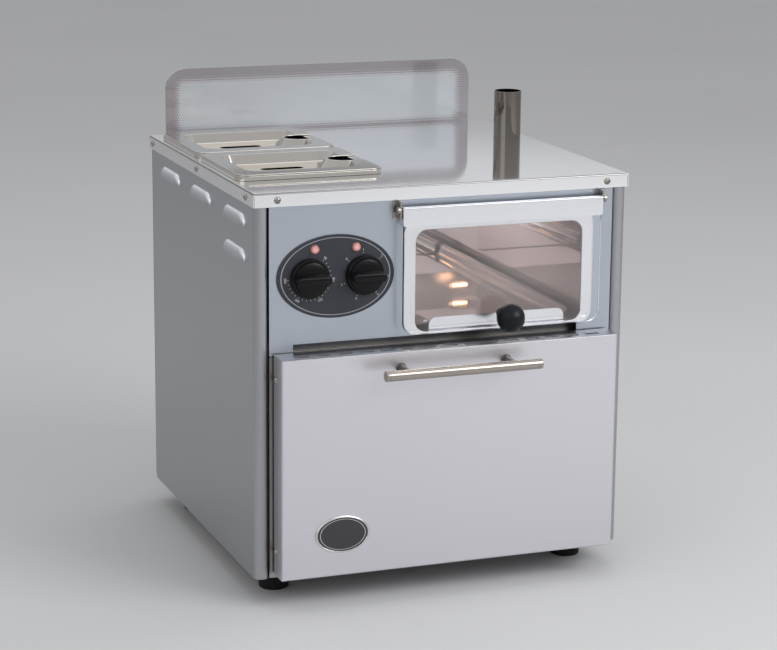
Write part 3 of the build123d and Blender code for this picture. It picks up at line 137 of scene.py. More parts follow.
class Finish(Graph):
    def __init__(self, name, values):
        self.material = bpy.data.materials.new(name)
        self.material.use_nodes = True
        super().__init__(self.material.node_tree)
        self.shader = self.tree.nodes["Principled BSDF"]
        self.feed(values)

    def feed(self, values):
        for key, value in values.items():
            self.join(self.shader.inputs[key], value)

    def spot(self):
        return self.node("ShaderNodeTexCoord", output="Object")

    def acrossAndUp(self):  # the X and Z of the place that is shaded
        parts = self.node("ShaderNodeSeparateXYZ", inputs={"Vector": self.spot()}).socket.node.outputs
        return Flow(self, parts["X"]), Flow(self, parts["Z"])

    def upward(self, steepness=1.0):  # 1 on surfaces that face up, 0 on upright ones
        normal = self.node("ShaderNodeTexCoord", output="Normal")
        rise = self.node("ShaderNodeSeparateXYZ", inputs={"Vector": normal}, output="Z")
        return (rise * steepness).atLeast(0).atMost(1)

    def noise(self, scale, stretch=(1, 1, 1), detail=3.0, roughness=0.5):
        place = self.node("ShaderNodeMapping", inputs={"Vector": self.spot(), "Scale": stretch})
        inputs = {"Vector": place, "Scale": scale, "Detail": detail, "Roughness": roughness}
        return self.node("ShaderNodeTexNoise", inputs=inputs)

    def mix(self, factor, first, second):  # inputs 6 and 7 and output 2 are the colours
        return self.node("ShaderNodeMix", {"data_type": "RGBA"}, {0: factor, 6: first, 7: second}, 2)

    def bump(self, height, distance, strength=1.0):
        return self.node("ShaderNodeBump", inputs={"Height": height, "Distance": distance, "Strength": strength})


def shade(colour, share):  # the colour times the share, with no channel above 1
    return tuple(min(1, channel * share) for channel in colour)


# In both steels, top multiplies the colour of level faces: above 1 it is a painted highlight, below 1 painted
# shade.
def brushedSteel(name, colour, stretch, roughness, contrast=0.1, depth=0.00002, top=1.0):
    steel = Finish(name, {"Metallic": 1.0})
    streaks = steel.noise(1.0, stretch, detail=5.0, roughness=0.65)
    clouds = steel.noise(5.0, detail=2.0)
    tone = streaks * 0.7 + clouds * 0.3
    side = steel.mix(tone, shade(colour, 1 - contrast), shade(colour, 1 + contrast))
    steel.feed({
        # level faces take top times the colour: painted highlight where top is above 1, painted shade where it is
        # below 1
        "Base Color": steel.mix(steel.upward(3.0), side, shade(colour, top)) if top != 1 else side,
        "Roughness": roughness + (streaks - 0.5) * 0.18 + (clouds - 0.5) * 0.08,
        "Normal": steel.bump(streaks, depth),
    })
    return steel.material


def polishedSteel(name, colour, roughness=0.07, top=1.0, metal=1.0, slopeShade=1.0):
    steel = Finish(name, {"Metallic": metal})
    smears = steel.noise(9.0, detail=4.0, roughness=0.6)
    hairlines = steel.noise(1.0, (900, 25, 900), detail=2.0)
    side = steel.mix(smears, shade(colour, 0.97), shade(colour, 1.02))
    # painted highlight on level faces where top is above 1, painted shade where it is below 1
    if top != 1:
        side = steel.mix(steel.upward(), side, shade(colour, top))
    if slopeShade != 1:  # painted shade: multiplies the colour of slopes, which are neither upright nor level, so the bends look darker
        shadedSlopes = steel.upward().near(0.52, 0.42)
        side = steel.mix(shadedSlopes, side, shade(colour, slopeShade))
    steel.feed({
        "Base Color": side,
        "Roughness": roughness + smears * 0.05 + hairlines * 0.03,
        "Normal": steel.bump(smears + hairlines * 0.02, 0.00001),
    })
    return steel.material


def mouldedPlastic(name, colour, roughness, grain=1400.0):
    plastic = Finish(name, {"Metallic": 0.0, "Specular IOR Level": 0.22})
    pores = plastic.noise(grain, detail=2.0)
    clouds = plastic.noise(40.0, detail=2.0)
    plastic.feed({
        "Base Color": plastic.mix(clouds, shade(colour, 0.85), shade(colour, 1.15)),
        "Roughness": roughness + (pores - 0.5) * 0.15 + (clouds - 0.5) * 0.1,
        "Normal": plastic.bump(pores, 0.00003, strength=0.5),
    })
    return plastic.material


def clearGlass(name, colour, roughness=0.01):
    glass = Finish(name, {"Base Color": colour, "Transmission Weight": 1.0, "IOR": 1.47})
    wiping = glass.noise(14.0, (1, 1, 3))
    glass.feed({"Roughness": roughness + (wiping - 0.45).atLeast(0) * 0.05})
    return glass.material


def guardPrint():  # tinted panel with a printed border that breaks up into dots towards the middle
    size = {"top": 0.5575, "foot": 0.464, "halfWidth": 0.205, "corner": 0.025, "border": 0.0085}
    dots = {"fade": 0.0135, "pitch": 0.0036, "rowStep": 0.866, "growth": 0.8, "largest": 0.62}
    panel = Finish("guardPrint", {
        "IOR": 1.7, "Specular IOR Level": 0.9, "Coat Weight": 1.0, "Coat Roughness": 0.01, "Coat IOR": 1.9,
    })
    x, z = panel.acrossAndUp()
    side = x.size() - (size["halfWidth"] - size["corner"])
    rise = (z - (size["top"] + size["foot"]) / 2).size() - ((size["top"] - size["foot"]) / 2 - size["corner"])
    outside = (side.atLeast(0) ** 2 + rise.atLeast(0) ** 2).root()
    depth = size["corner"] - (outside + side.atLeast(rise).atMost(0))
    row = z / (dots["pitch"] * dots["rowStep"])
    shift = (row.whole() * 0.5).part()
    dx = (x / dots["pitch"] + shift).part() - 0.5
    dz = (row.part() - 0.5) * dots["rowStep"]
    reach = (dx * dx + dz * dz).root()
    bare = ((depth - size["border"]) / dots["fade"]).atLeast(0)
    ink = 1 - reach.below(bare ** dots["growth"] * dots["largest"])
    haze = panel.noise(7.0, (1, 1, 1.5), detail=2.0)
    tone = panel.mix(haze, (0.55, 0.59, 0.64), (0.62, 0.66, 0.7))
    tone = panel.mix((1 - bare).atLeast(0) * 0.8, tone, (0.86, 0.86, 0.88))
    panel.feed({
        "Base Color": panel.mix(ink, tone, (0.235, 0.215, 0.235)),
        "Roughness": 0.1 + ink * 0.12 + haze * 0.04,
        "Alpha": 0.5 + ink * 0.42,
    })
    return panel.material


def controlPrint():  # charcoal print with one thin silver line inside the oval's edge
    size = {"x": -0.131, "z": 0.3775, "halfWidth": 0.0695, "halfHeight": 0.0475}
    size["line"], size["lineWidth"] = 0.0042, 0.00045
    plate = Finish("controlPrint", {"Metallic": 0.0})
    x, z = plate.acrossAndUp()
    across = (x - size["x"]) / size["halfWidth"]
    along = (z - size["z"]) / size["halfHeight"]
    radius = (across * across + along * along).root()
    inset = (1 - radius) * ((size["halfWidth"] + size["halfHeight"]) / 2)
    line = inset.near(size["line"], size["lineWidth"])
    clouds = plate.noise(30.0)
    charcoal = plate.mix(clouds, (0.024, 0.027, 0.036), (0.033, 0.036, 0.047))
    plate.feed({
        "Base Color": plate.mix(line, charcoal, (0.42, 0.43, 0.46)),
        "Roughness": 0.34 + clouds * 0.12 - line * 0.1,
        "Metallic": line * 0.7,
        "Normal": plate.bump(plate.noise(1800.0), 0.00002, strength=0.4),
    })
    return plate.material


def badgeEnamel():  # black enamel inside a bright rim, with a thin bright line
    size = {"x": -0.133, "z": 0.0855, "halfWidth": 0.0325, "halfHeight": 0.0215}
    shares = {"rim": 0.925, "line": 0.83, "lineWidth": 0.012}
    enamel = Finish("badgeEnamel", {"Coat Weight": 0.8, "Coat Roughness": 0.06})
    x, z = enamel.acrossAndUp()
    across = (x - size["x"]) / size["halfWidth"]
    along = (z - size["z"]) / size["halfHeight"]
    radius = (across * across + along * along).root()
    bright = radius.above(shares["rim"]).atLeast(radius.near(shares["line"], shares["lineWidth"]))
    speckle = enamel.noise(900.0)
    black = enamel.mix(speckle, (0.012, 0.012, 0.014), (0.02, 0.02, 0.023))
    enamel.feed({
        "Base Color": enamel.mix(bright, black, (0.72, 0.71, 0.69)),
        "Metallic": bright,
        "Roughness": 0.3 - bright * 0.14 + speckle * 0.05,
    })
    return enamel.material


def mineralWool():
    wool = Finish("mineralWool", {"Roughness": 0.95})
    fibres = wool.noise(260.0, (1, 0.3, 1), detail=6.0, roughness=0.7)
    wool.feed({
        "Base Color": wool.mix(fibres, (0.5, 0.44, 0.28), (0.75, 0.7, 0.52)),
        "Normal": wool.bump(fibres, 0.0008),
    })
    return wool.material


def heaterTube():
    tube = Finish("heaterTube", {"Metallic": 1.0})
    scale = tube.noise(160.0, detail=5.0)
    stops = [(0.3, (0.09, 0.07, 0.06)), (0.55, (0.22, 0.19, 0.17)), (0.75, (0.3, 0.22, 0.14))]
    tube.feed({
        "Base Color": tube.node("ShaderNodeValToRGB", {"stops": stops}, {0: scale}),
        "Roughness": 0.4 + scale * 0.3,
        "Normal": tube.bump(scale, 0.0001),
    })
    return tube.material


def neonLens():
    size = {"first": -0.156, "second": -0.107, "z": 0.4095, "radius": 0.005}
    lens = Finish("neonLens", {
        "Transmission Weight": 0.25, "IOR": 1.48, "Emission Strength": 0.25, "Coat Weight": 0.6,
    })
    x, z = lens.acrossAndUp()
    across = (x - size["first"]).size().atMost((x - size["second"]).size())
    reach = (across * across + (z - size["z"]) ** 2).root() / size["radius"]
    facets = lens.noise(620.0, detail=1.0)
    lit = ((1 - reach).atLeast(0) * 0.8 + facets * 0.6 - 0.1).atLeast(0).atMost(1)
    lens.feed({
        "Base Color": lens.mix(lit, (0.32, 0.09, 0.09), (0.95, 0.55, 0.52)),
        "Emission Color": lens.mix(lit, (0.3, 0.04, 0.04), (1.0, 0.5, 0.45)),
        "Roughness": 0.12 + facets * 0.14,
        "Normal": lens.bump(facets, 0.0004),
    })
    return lens.material


def lampGlow():
    glow = Finish("lampGlow", {"Roughness": 0.4, "Emission Strength": 34.0})
    coil = glow.node("ShaderNodeTexWave", {"bands_direction": "X"}, {"Vector": glow.spot(), "Scale": 260.0})
    glow.feed({
        "Base Color": glow.mix(coil, (0.6, 0.42, 0.25), (0.9, 0.75, 0.5)),
        "Emission Color": glow.mix(coil, (0.75, 0.4, 0.18), (1.0, 0.72, 0.42)),
    })
    return glow.material


finishes = {
    # level faces, such as the tops of the side louvres, are brightened: painted highlight
    "casingSteel": brushedSteel(
        "casingSteel", (0.43, 0.435, 0.455), (240, 900, 4), roughness=0.34, contrast=0.12, top=2.0,
    ),
    # level faces, such as the drawer's top flange, are darkened: painted shade
    "drawerSteel": brushedSteel(
        "drawerSteel", (0.76, 0.75, 0.79), (14, 500, 700), roughness=0.38, contrast=0.03, top=0.4,
    ),
    "fasciaSteel": brushedSteel("fasciaSteel", (0.5, 0.54, 0.6), (12, 500, 600), roughness=0.34, contrast=0.03),
    "innerSteel": brushedSteel("innerSteel", (0.42, 0.42, 0.42), (60, 60, 300), roughness=0.4, contrast=0.1),
    # colour darkened so the liner seen in the gap above the drawer looks shaded: painted shade
    "ovenSteel": brushedSteel("ovenSteel", (0.3, 0.29, 0.28), (200, 8, 200), roughness=0.34, contrast=0.06),
    # the slopes of the pans and lids are darkened: painted shade
    "panSteel": polishedSteel("panSteel", (0.6, 0.57, 0.525), roughness=0.05, slopeShade=0.9),
    # the worktop's level faces are brightened (painted highlight) and its bends darkened (painted shade)
    "mirrorSteel": polishedSteel("mirrorSteel", (0.8, 0.8, 0.81), roughness=0.03, top=1.12, slopeShade=0.3),
    "cabinetSteel": polishedSteel("cabinetSteel", (0.9, 0.82, 0.81), roughness=-0.015, metal=0.75),
    # the bends of the frame and hinge rail are darkened: painted shade
    "frameSteel": polishedSteel("frameSteel", (0.82, 0.825, 0.85), roughness=0.16, slopeShade=0.5),
    # colour darkened to stand for the dark surroundings the flue mirrors: painted reflection
    "chrome": polishedSteel("chrome", (0.23, 0.21, 0.19), roughness=0.03),
    "rimSteel": polishedSteel("rimSteel", (0.8, 0.77, 0.76), roughness=0.1, metal=0.9),
    "lampGlass": clearGlass("lampGlass", (1.0, 0.96, 0.88), roughness=0.02),
    "wire": polishedSteel("wire", (0.7, 0.7, 0.7), roughness=0.12),
    "satinNickel": brushedSteel("satinNickel", (0.42, 0.38, 0.34), (8, 900, 900), roughness=0.24, contrast=0.06),
    "darkNickel": brushedSteel("darkNickel", (0.12, 0.11, 0.1), (300, 300, 300), roughness=0.3, contrast=0.1),
    "zinc": brushedSteel("zinc", (0.4, 0.375, 0.345), (300, 300, 300), roughness=0.26, contrast=0.1),
    "blackKnob": mouldedPlastic("blackKnob", (0.005, 0.005, 0.006), roughness=0.24),
    "ballPlastic": mouldedPlastic("ballPlastic", (0.006, 0.009, 0.011), roughness=0.34, grain=900.0),
    "dullPlastic": mouldedPlastic("dullPlastic", (0.03, 0.03, 0.032), roughness=0.55),
    "rubber": mouldedPlastic("rubber", (0.01, 0.01, 0.01), roughness=0.65, grain=600.0),
    "markPaint": mouldedPlastic("markPaint", (0.66, 0.68, 0.7), roughness=0.5),
    "doorGlass": clearGlass("doorGlass", (0.985, 0.985, 0.99)),
    "guardPrint": guardPrint(),
    "controlPrint": controlPrint(),
    "badgeEnamel": badgeEnamel(),
    "mineralWool": mineralWool(),
    "heaterTube": heaterTube(),
    "neonLens": neonLens(),
    "lampGlow": lampGlow(),
}
nodeFinishes = {
    "casingSteel": ["side_panel_left", "side_panel_right", "rear_cover"],
    "drawerSteel": ["drawer_front"],
    "fasciaSteel": ["fascia"],
    "mirrorSteel": ["worktop"],
    "frameSteel": ["display_frame", "hinge_rail"],
    "cabinetSteel": ["display_liner", "display_tray"],
    "ovenSteel": ["oven_liner", "rear_baffle", "well_liner"],
    "innerSteel": [
        "base_plate", "flue_duct", "drawer_back_panel", "runners", "slide_rails", "rack_side_left",
        "rack_side_right", "fan_wheel", "fan_motor",
    ],
    "panSteel": ["front_pan", "front_lid", "rear_pan", "rear_lid"],
    "wire": ["lower_shelf", "middle_shelf", "upper_shelf"],
    "chrome": ["flue_tube"],
    "satinNickel": ["handle_bar"],
    "darkNickel": ["handle_posts"],
    "zinc": [
        "casing_screws", "drawer_screws", "foot_studs", "hinge_screws", "hinge_brackets", "door_knob_screw",
        "fan_shaft", "oven_spindle", "well_spindle",
    ],
    "blackKnob": ["oven_knob", "well_knob"],
    "ballPlastic": ["door_knob"],
    "dullPlastic": ["cable_gland", "control_bodies", "terminal_block", "lamp_holder"],
    "rubber": ["feet", "drawer_seal"],
    "doorGlass": ["door_glass"],
    "guardPrint": ["guard_panel"],
    "controlPrint": ["control_plate"],
    "badgeEnamel": ["badge_plate"],
    "mineralWool": ["oven_insulation", "drawer_insulation"],
    "heaterTube": ["ring_element", "well_element"],
    "neonLens": ["neon_lamps"],
    "lampGlass": ["display_lamp"],
}
for finish, nodes in nodeFinishes.items():
    for node in nodes:
        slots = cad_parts[node].data.materials
        slots.clear()
        slots.append(finishes[finish])
print("finishes made:", len(finishes))


# Outlines and lofts, from which the pieces are built
def slotRing(length, width, height, steps=12):  # a bar's outline with round ends
    half = length / 2 - width / 2
    ring = []
    for side in (1, -1):
        for step in range(steps + 1):
            turn = math.pi * (step / steps - 0.5)
            x, y = half + math.cos(turn) * width / 2, math.sin(turn) * width / 2
            ring.append(Vector((side * x, side * y, height)))
    return ring


def ovalRing(halfWidth, halfHeight, height, steps=64):
    turns = [2 * math.pi * step / steps for step in range(steps)]
    return [Vector((halfWidth * math.cos(turn), halfHeight * math.sin(turn), height)) for turn in turns]


def loft(shape, rings):  # a closed body through the rings, with a fan of faces over each end
    rows = [[shape.verts.new(point) for point in ring] for ring in rings]
    count = len(rows[0])
    for lower, upper in zip(rows, rows[1:]):
        for index in range(count):
            after = (index + 1) % count
            shape.faces.new((lower[index], lower[after], upper[after], upper[index]))
    for row in (rows[0], rows[-1]):
        middle = shape.verts.new(sum((vert.co for vert in row), Vector()) / count)
        for index in range(count):
            shape.faces.new((row[index], row[(index + 1) % count], middle))


def lathe(shape, profile, steps=64):
    loft(shape, [ovalRing(radius, radius, height, steps) for radius, height in profile])


def makePiece(name, shape, finish, body, place=None, stands=(), smooth=40):
    bmesh.ops.remove_doubles(shape, verts=shape.verts, dist=1e-6)
    bmesh.ops.recalc_face_normals(shape, faces=shape.faces)
    mesh = bpy.data.meshes.new(name)
    shape.to_mesh(mesh)
    shape.free()
    if place:
        mesh.transform(place)
    finishPiece(name, mesh, finish, body, stands, smooth)


def finishPiece(name, mesh, finish, body, stands=(), smooth=40):
    mesh.name = name
    if finish:
        mesh.materials.clear()
        mesh.materials.append(finishes[finish])
    mesh.shade_smooth()
    mesh.set_sharp_from_angle(angle=math.radians(smooth))
    piece = bpy.data.objects.new(name, mesh)
    bpy.context.scene.collection.objects.link(piece)
    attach(piece, body)
    if stands:
        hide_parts(*stands)


def facing(origin, direction, across=(1, 0, 0)):  # drawn upwards along Z, then turned to face the direction
    up = Vector(direction).normalized()
    side = Vector(across).normalized()
    turned = Matrix((side, up.cross(side), up)).transposed().to_4x4()
    return Matrix.Translation(origin) @ turned


def knobs():
    size = {"x": {"oven_dial": -162, "well_dial": -97}, "level": 377, "back": 1.3}
    size["skirt"], size["skirtHeight"], size["barrel"] = 22.5, 6, 19.5
    grip = {"length": 41, "width": 12.5, "height": 22}
    # metres by which each outline of the grip's rounded top is shorter, narrower and below the top
    rounding = ((0.0006, 0.0016, 0.003), (0.0012, 0.0022, 0.0014), (0.0026, 0.0038, 0.0004), (0.0042, 0.0056, 0))
    for body, x in size["x"].items():
        shape = bmesh.new()
        r, low, barrel = size["skirt"] / 1000, size["skirtHeight"] / 1000, size["barrel"] / 1000
        profile = [(r - 0.0008, 0), (r, 0.0008), (r, low - 0.002), (r - 0.0004, low - 0.001), (r - 0.0012, low)]
        profile += [(barrel, low + 0.0002), (barrel - 0.0006, low + 0.0026), (barrel - 0.0016, low + 0.0032)]
        lathe(shape, profile + [(0.006, low + 0.0034)], steps=96)
        top, length, width = grip["height"] / 1000, grip["length"] / 1000, grip["width"] / 1000
        rings = [slotRing(length, width, low)]
        rings += [slotRing(length - short, width - narrow, top - down) for short, narrow, down in rounding]
        loft(shape, rings)
        place = facing(at(x, size["back"], size["level"]), (0, -1, 0))
        node = body.replace("dial", "knob")
        makePiece(f"{body}_cap", shape, "blackKnob", body, place, [node], smooth=35)
    print("knobs made")


def ballKnob():
    size = {"x": 67, "front": -11, "level": 323, "radius": 16.3, "reach": 24, "neck": 6.5, "steps": 30}
    radius, reach, neck = size["radius"] / 1000, size["reach"] / 1000, size["neck"] / 1000
    first = math.asin(neck / radius)
    turns = [first + (math.pi - first) * step / size["steps"] for step in range(size["steps"] + 1)]
    profile = [(neck + 0.0012, 0), (neck + 0.0012, 0.001), (neck, 0.0022)]
    profile += [(max(1e-5, radius * math.sin(turn)), reach - radius * math.cos(turn)) for turn in turns]
    shape = bmesh.new()
    lathe(shape, profile)
    place = facing(at(size["x"], size["front"], size["level"]), (0, -1, 0))
    makePiece("ball_knob", shape, "ballPlastic", "door", place, ["door_knob"])
    print("ball knob made")


def drawerHandle():
    size = {"length": 190, "radius": 6, "level": 274, "axis": -62, "front": -30, "spacing": 128, "post": 4.5}
    half, radius = size["length"] / 2000, size["radius"] / 1000
    end = [  # a rounded edge and a shallow groove behind it
        (radius - 0.0012, 0), (radius - 0.0003, 0.0004), (radius, 0.0012), (radius, 0.0046),
        (radius - 0.00035, 0.0048), (radius - 0.00035, 0.0054), (radius, 0.0056),
    ]
    profile = end + [(r, 2 * half - h) for r, h in reversed(end)]
    shape = bmesh.new()
    lathe(shape, profile, steps=72)
    place = facing(at(-size["length"] / 2, size["axis"], size["level"]), (1, 0, 0), (0, 1, 0))
    makePiece("handle_rod", shape, "satinNickel", "drawer", place, ["handle_bar"], smooth=30)
    shape = bmesh.new()
    post, reach = size["post"] / 1000, (size["front"] - size["axis"]) / 1000
    foot = post + 0.0015
    leg = [(foot, 0), (foot, 0.0014), (post + 0.0009, 0.002), (post, 0.0026), (post, reach - 0.003)]
    for side in (-1, 1):
        one = bmesh.new()
        lathe(one, leg, steps=48)
        mesh = bpy.data.meshes.new("post")
        one.to_mesh(mesh)
        one.free()
        mesh.transform(facing(at(side * size["spacing"] / 2, size["front"], size["level"]), (0, -1, 0)))
        shape.from_mesh(mesh)
        bpy.data.meshes.remove(mesh)
    makePiece("handle_legs", shape, "darkNickel", "drawer", stands=["handle_posts"])
    print("handle made")


def badge():
    size = {"x": -133, "level": 85.5, "front": -30, "halfWidth": 32.5, "halfHeight": 21.5}
    width, height = size["halfWidth"] / 1000, size["halfHeight"] / 1000
    steps = [  # inset and rise: a rounded rim, a groove inside it and a slightly domed field
        (0, 0), (0, 0.0016), (0.0005, 0.0022), (0.0012, 0.0024), (0.0019, 0.0021), (0.0023, 0.0016),
        (0.006, 0.0018), (0.013, 0.00205), (0.019, 0.0021),
    ]
    shape = bmesh.new()
    loft(shape, [ovalRing(width - inset, height - inset, rise, steps=96) for inset, rise in steps])
    place = facing(at(size["x"], size["front"], size["level"]), (0, -1, 0))
    makePiece("badge_dome", shape, "badgeEnamel", "drawer", place, ["badge_plate"])
    print("badge made")


# One geometry tree sets a unit on every place of a group. Each place has a facing and a direction across it.
def repeatTree():
    tree = bpy.data.node_groups.new("repeatUnits", "GeometryNodeTree")
    kinds = {
        "Geometry": "Geometry", "Unit": "Object", "Size": "Float", "Turn": "Float", "Seed": "Int",
        "Finish": "Material",
    }
    for name, kind in kinds.items():
        tree.interface.new_socket(name=name, in_out="INPUT", socket_type="NodeSocket" + kind)
    tree.interface.new_socket(name="Geometry", in_out="OUTPUT", socket_type="NodeSocketGeometry")
    graph = Graph(tree)
    source = graph.node("NodeGroupInput").socket.node
    given = {name: Flow(graph, source.outputs[name]) for name in kinds}
    face, along = [
        graph.node("GeometryNodeInputNamedAttribute", {"data_type": "FLOAT_VECTOR"}, {"Name": name})
        for name in ("facing", "across")
    ]
    upright = graph.node("FunctionNodeAlignRotationToVector", {"axis": "Z"}, {"Vector": face})
    settings = {"axis": "X", "pivot_axis": "Z"}
    aligned = graph.node("FunctionNodeAlignRotationToVector", settings, {"Rotation": upright, "Vector": along})
    # inputs 2 and 3 are the least and the largest number, 8 is the seed, and output 1 is the number
    span = {2: 0.0, 3: given["Turn"], 8: given["Seed"]}
    chance = graph.node("FunctionNodeRandomValue", {"data_type": "FLOAT"}, span, 1)
    spin = graph.node("FunctionNodeAxisAngleToRotation", inputs={"Axis": (0, 0, 1), "Angle": chance})
    local = {"rotation_space": "LOCAL"}
    turned = graph.node("FunctionNodeRotateRotation", local, {"Rotation": aligned, "Rotate By": spin})
    unit = graph.node("GeometryNodeObjectInfo", inputs={"Object": given["Unit"]}, output="Geometry")
    places = {"Points": given["Geometry"], "Instance": unit, "Rotation": turned, "Scale": given["Size"]}
    instances = graph.node("GeometryNodeInstanceOnPoints", inputs=places)
    whole = graph.node("GeometryNodeRealizeInstances", inputs={"Geometry": instances})
    dressed = graph.node("GeometryNodeSetMaterial", inputs={"Geometry": whole, "Material": given["Finish"]})
    graph.join(tree.nodes.new("NodeGroupOutput").inputs[0], dressed)
    return tree


def repeatUnits(name, tree, unit, places, finish, body, stands=(), turn=0.0, seed=3):
    group = bpy.data.meshes.new(name + "Places")
    group.from_pydata([place[0] for place in places], [], [])
    for index, key in ((1, "facing"), (2, "across")):
        values = group.attributes.new(key, "FLOAT_VECTOR", "POINT").data
        for value, place in zip(values, places):
            value.vector = place[index]
    unitMesh = bpy.data.meshes.new(name + "Unit")
    bmesh.ops.recalc_face_normals(unit, faces=unit.faces)
    unit.to_mesh(unitMesh)
    unit.free()
    unitObject = bpy.data.objects.new(name + "Unit", unitMesh)
    groupObject = bpy.data.objects.new(name + "Places", group)
    for item in (unitObject, groupObject):
        bpy.context.scene.collection.objects.link(item)
    modifier = groupObject.modifiers.new(name, "NODES")
    modifier.node_group = tree
    given = {"Unit": unitObject, "Size": 1.0, "Turn": turn, "Seed": seed, "Finish": finishes[finish]}
    for socket in tree.interface.items_tree:
        if socket.in_out == "INPUT" and socket.name in given:
            modifier[socket.identifier] = given[socket.name]
    evaluated = groupObject.evaluated_get(bpy.context.evaluated_depsgraph_get())
    mesh = bpy.data.meshes.new_from_object(evaluated)
    groupObject.modifiers.remove(modifier)
    for item in (unitObject, groupObject):
        bpy.data.objects.remove(item)
    finishPiece(name, mesh, None, body, stands)


def screwUnit():  # a domed head with a cross recess, and its shank
    size = {"radius": 0.004, "height": 0.0022, "shank": 0.007, "arm": 0.0023, "armHalf": 0.0005, "depth": 0.0011}
    size["rings"], size["steps"] = 14, 56
    dome = {"drop": 0.85, "power": 2.6}  # the drop towards the edge is a share of the head's height
    radius = size["radius"]
    shape = bmesh.new()

    def level(x, y):
        reach = math.hypot(x, y) / radius
        top = size["height"] * (1 - dome["drop"] * reach ** dome["power"])
        inArm = min(abs(x), abs(y)) < size["armHalf"] and max(abs(x), abs(y)) < size["arm"]
        return top - (size["depth"] if inArm else 0)

    def ring(share):
        turns = [2 * math.pi * step / size["steps"] for step in range(size["steps"])]
        points = [(radius * share * math.cos(turn), radius * share * math.sin(turn)) for turn in turns]
        return [Vector((x, y, level(x, y))) for x, y in points]

    head = [ring((index + 1) / size["rings"]) for index in range(size["rings"])]
    edges = ((radius, 0), (radius / 2, 0), (radius / 2, -size["shank"]))
    skirt = [ovalRing(r, r, z, size["steps"]) for r, z in edges]
    loft(shape, head + skirt)
    return shape


def screws(tree):
    size = {"half": 227.5, "level": 467.5, "front": 200, "sides": (30, 225, 420)}
    rear = {"x": 217.3, "y": 434.5, "levels": (60, 245, 430)}
    guard = {"x": (-150, 0, 150), "y": 440.1}
    places = [(at(x, 0, size["level"]), (0, -1, 0), (1, 0, 0)) for x in (-size["front"], size["front"])]
    for side in (-1, 1):
        places += [(at(side * size["half"], y, size["level"]), (side, 0, 0), (0, 1, 0)) for y in size["sides"]]
    for side in (-1, 1):
        places += [(at(side * rear["x"], rear["y"], z), (0, 1, 0), (1, 0, 0)) for z in rear["levels"]]
    places += [(at(x, guard["y"], size["level"]), (0, 1, 0), (1, 0, 0)) for x in guard["x"]]
    repeatUnits("case_screws", tree, screwUnit(), places, "zinc", "oven", ["casing_screws"],
                turn=3.0, seed=5)
    drawer = {"half": 204.5, "y": -6, "levels": (64, 265), "posts": 64, "inside": -28.8, "level": 274}
    places = []
    for side in (-1, 1):
        places += [(at(side * drawer["half"], drawer["y"], z), (side, 0, 0), (0, 1, 0)) for z in drawer["levels"]]
    for side in (-1, 1):
        places.append((at(side * drawer["posts"], drawer["inside"], drawer["level"]), (0, 1, 0), (1, 0, 0)))
    repeatUnits("drawer_bolts", tree, screwUnit(), places, "zinc", "drawer", ["drawer_screws"],
                turn=3.0, seed=9)
    print("screws made")


def dialMarks(tree):
    size = {"front": 1.55, "level": 377, "x": (-162, -97), "radius": 25.3}
    mark = {"tick": 1.8, "width": 0.42, "proud": 0.08, "dot": 0.5, "number": 3.8, "numberOut": 3.3}
    neon = {"x": (-156, -107), "front": 1.6, "level": 409.5}
    scale = {"turns": (50, -7, -64, -121, -178), "between": 5, "step": 50}
    steps = {"turns": (138, 93, 44, -6, -56, -110, -160), "words": "0123456"}

    def spoke(x, turn, radius):
        angle = math.radians(turn)
        away = Vector((math.cos(angle), 0, math.sin(angle)))
        return at(x, size["front"], size["level"]) + away * (radius / 1000), (0, -1, 0), tuple(away)

    tick = bmesh.new()
    extent = Matrix.Diagonal((mark["tick"] / 1000, mark["width"] / 1000, mark["proud"] / 1000, 1))
    bmesh.ops.create_cube(tick, size=1, matrix=extent)
    first, last = scale["turns"][0], scale["turns"][-1]
    count = scale["between"] * (len(scale["turns"]) - 1)
    turns = [first + (last - first) * index / count for index in range(count + 1)]
    places = [spoke(size["x"][0], turn, size["radius"]) for turn in turns]
    repeatUnits("scale_ticks", tree, tick, places, "markPaint", "oven")
    dot = bmesh.new()
    lathe(dot, [(mark["dot"] / 1000, -0.00005), (mark["dot"] / 1000, 0.00005)], steps=16)
    places = [spoke(size["x"][1], turn, size["radius"]) for turn in steps["turns"]]
    repeatUnits("step_dots", tree, dot, places, "markPaint", "oven")
    words = [str(scale["step"] * (index + 1)) for index in range(len(scale["turns"]))]
    numbers = [(size["x"][0], turn, word) for turn, word in zip(scale["turns"], words)]
    numbers += [(size["x"][1], turn, word) for turn, word in zip(steps["turns"], steps["words"])]
    whole = bmesh.new()
    for x, turn, word in numbers:
        curve = bpy.data.curves.new("number", "FONT")
        curve.body, curve.size, curve.extrude = word, mark["number"] / 1000, mark["proud"] / 2000
        curve.align_x, curve.align_y = "CENTER", "CENTER"
        written = bpy.data.objects.new("number", curve)
        mesh = bpy.data.meshes.new_from_object(written)
        place, face = spoke(x, turn, size["radius"] + mark["numberOut"])[:2]
        lean = (turn - 90 if turn > 0 else turn + 90) if x == size["x"][0] else 0
        mesh.transform(facing(place, face) @ Matrix.Rotation(math.radians(lean), 4, "Z"))
        whole.from_mesh(mesh)
        bpy.data.objects.remove(written)
        bpy.data.curves.remove(curve)
        bpy.data.meshes.remove(mesh)
    makePiece("dial_numbers", whole, "markPaint", "oven")
    ring = bmesh.new()
    profile = [(0.0051, -0.0001), (0.0063, -0.0001), (0.0063, 0.0004), (0.0059, 0.0008), (0.0053, 0.0008)]
    lathe(ring, profile + [(0.0051, 0.0004)], steps=40)
    places = [(at(x, neon["front"], neon["level"]), (0, -1, 0), (1, 0, 0)) for x in neon["x"]]
    repeatUnits("neon_rings", tree, ring, places, "darkNickel", "oven")
    print("dial marks made")


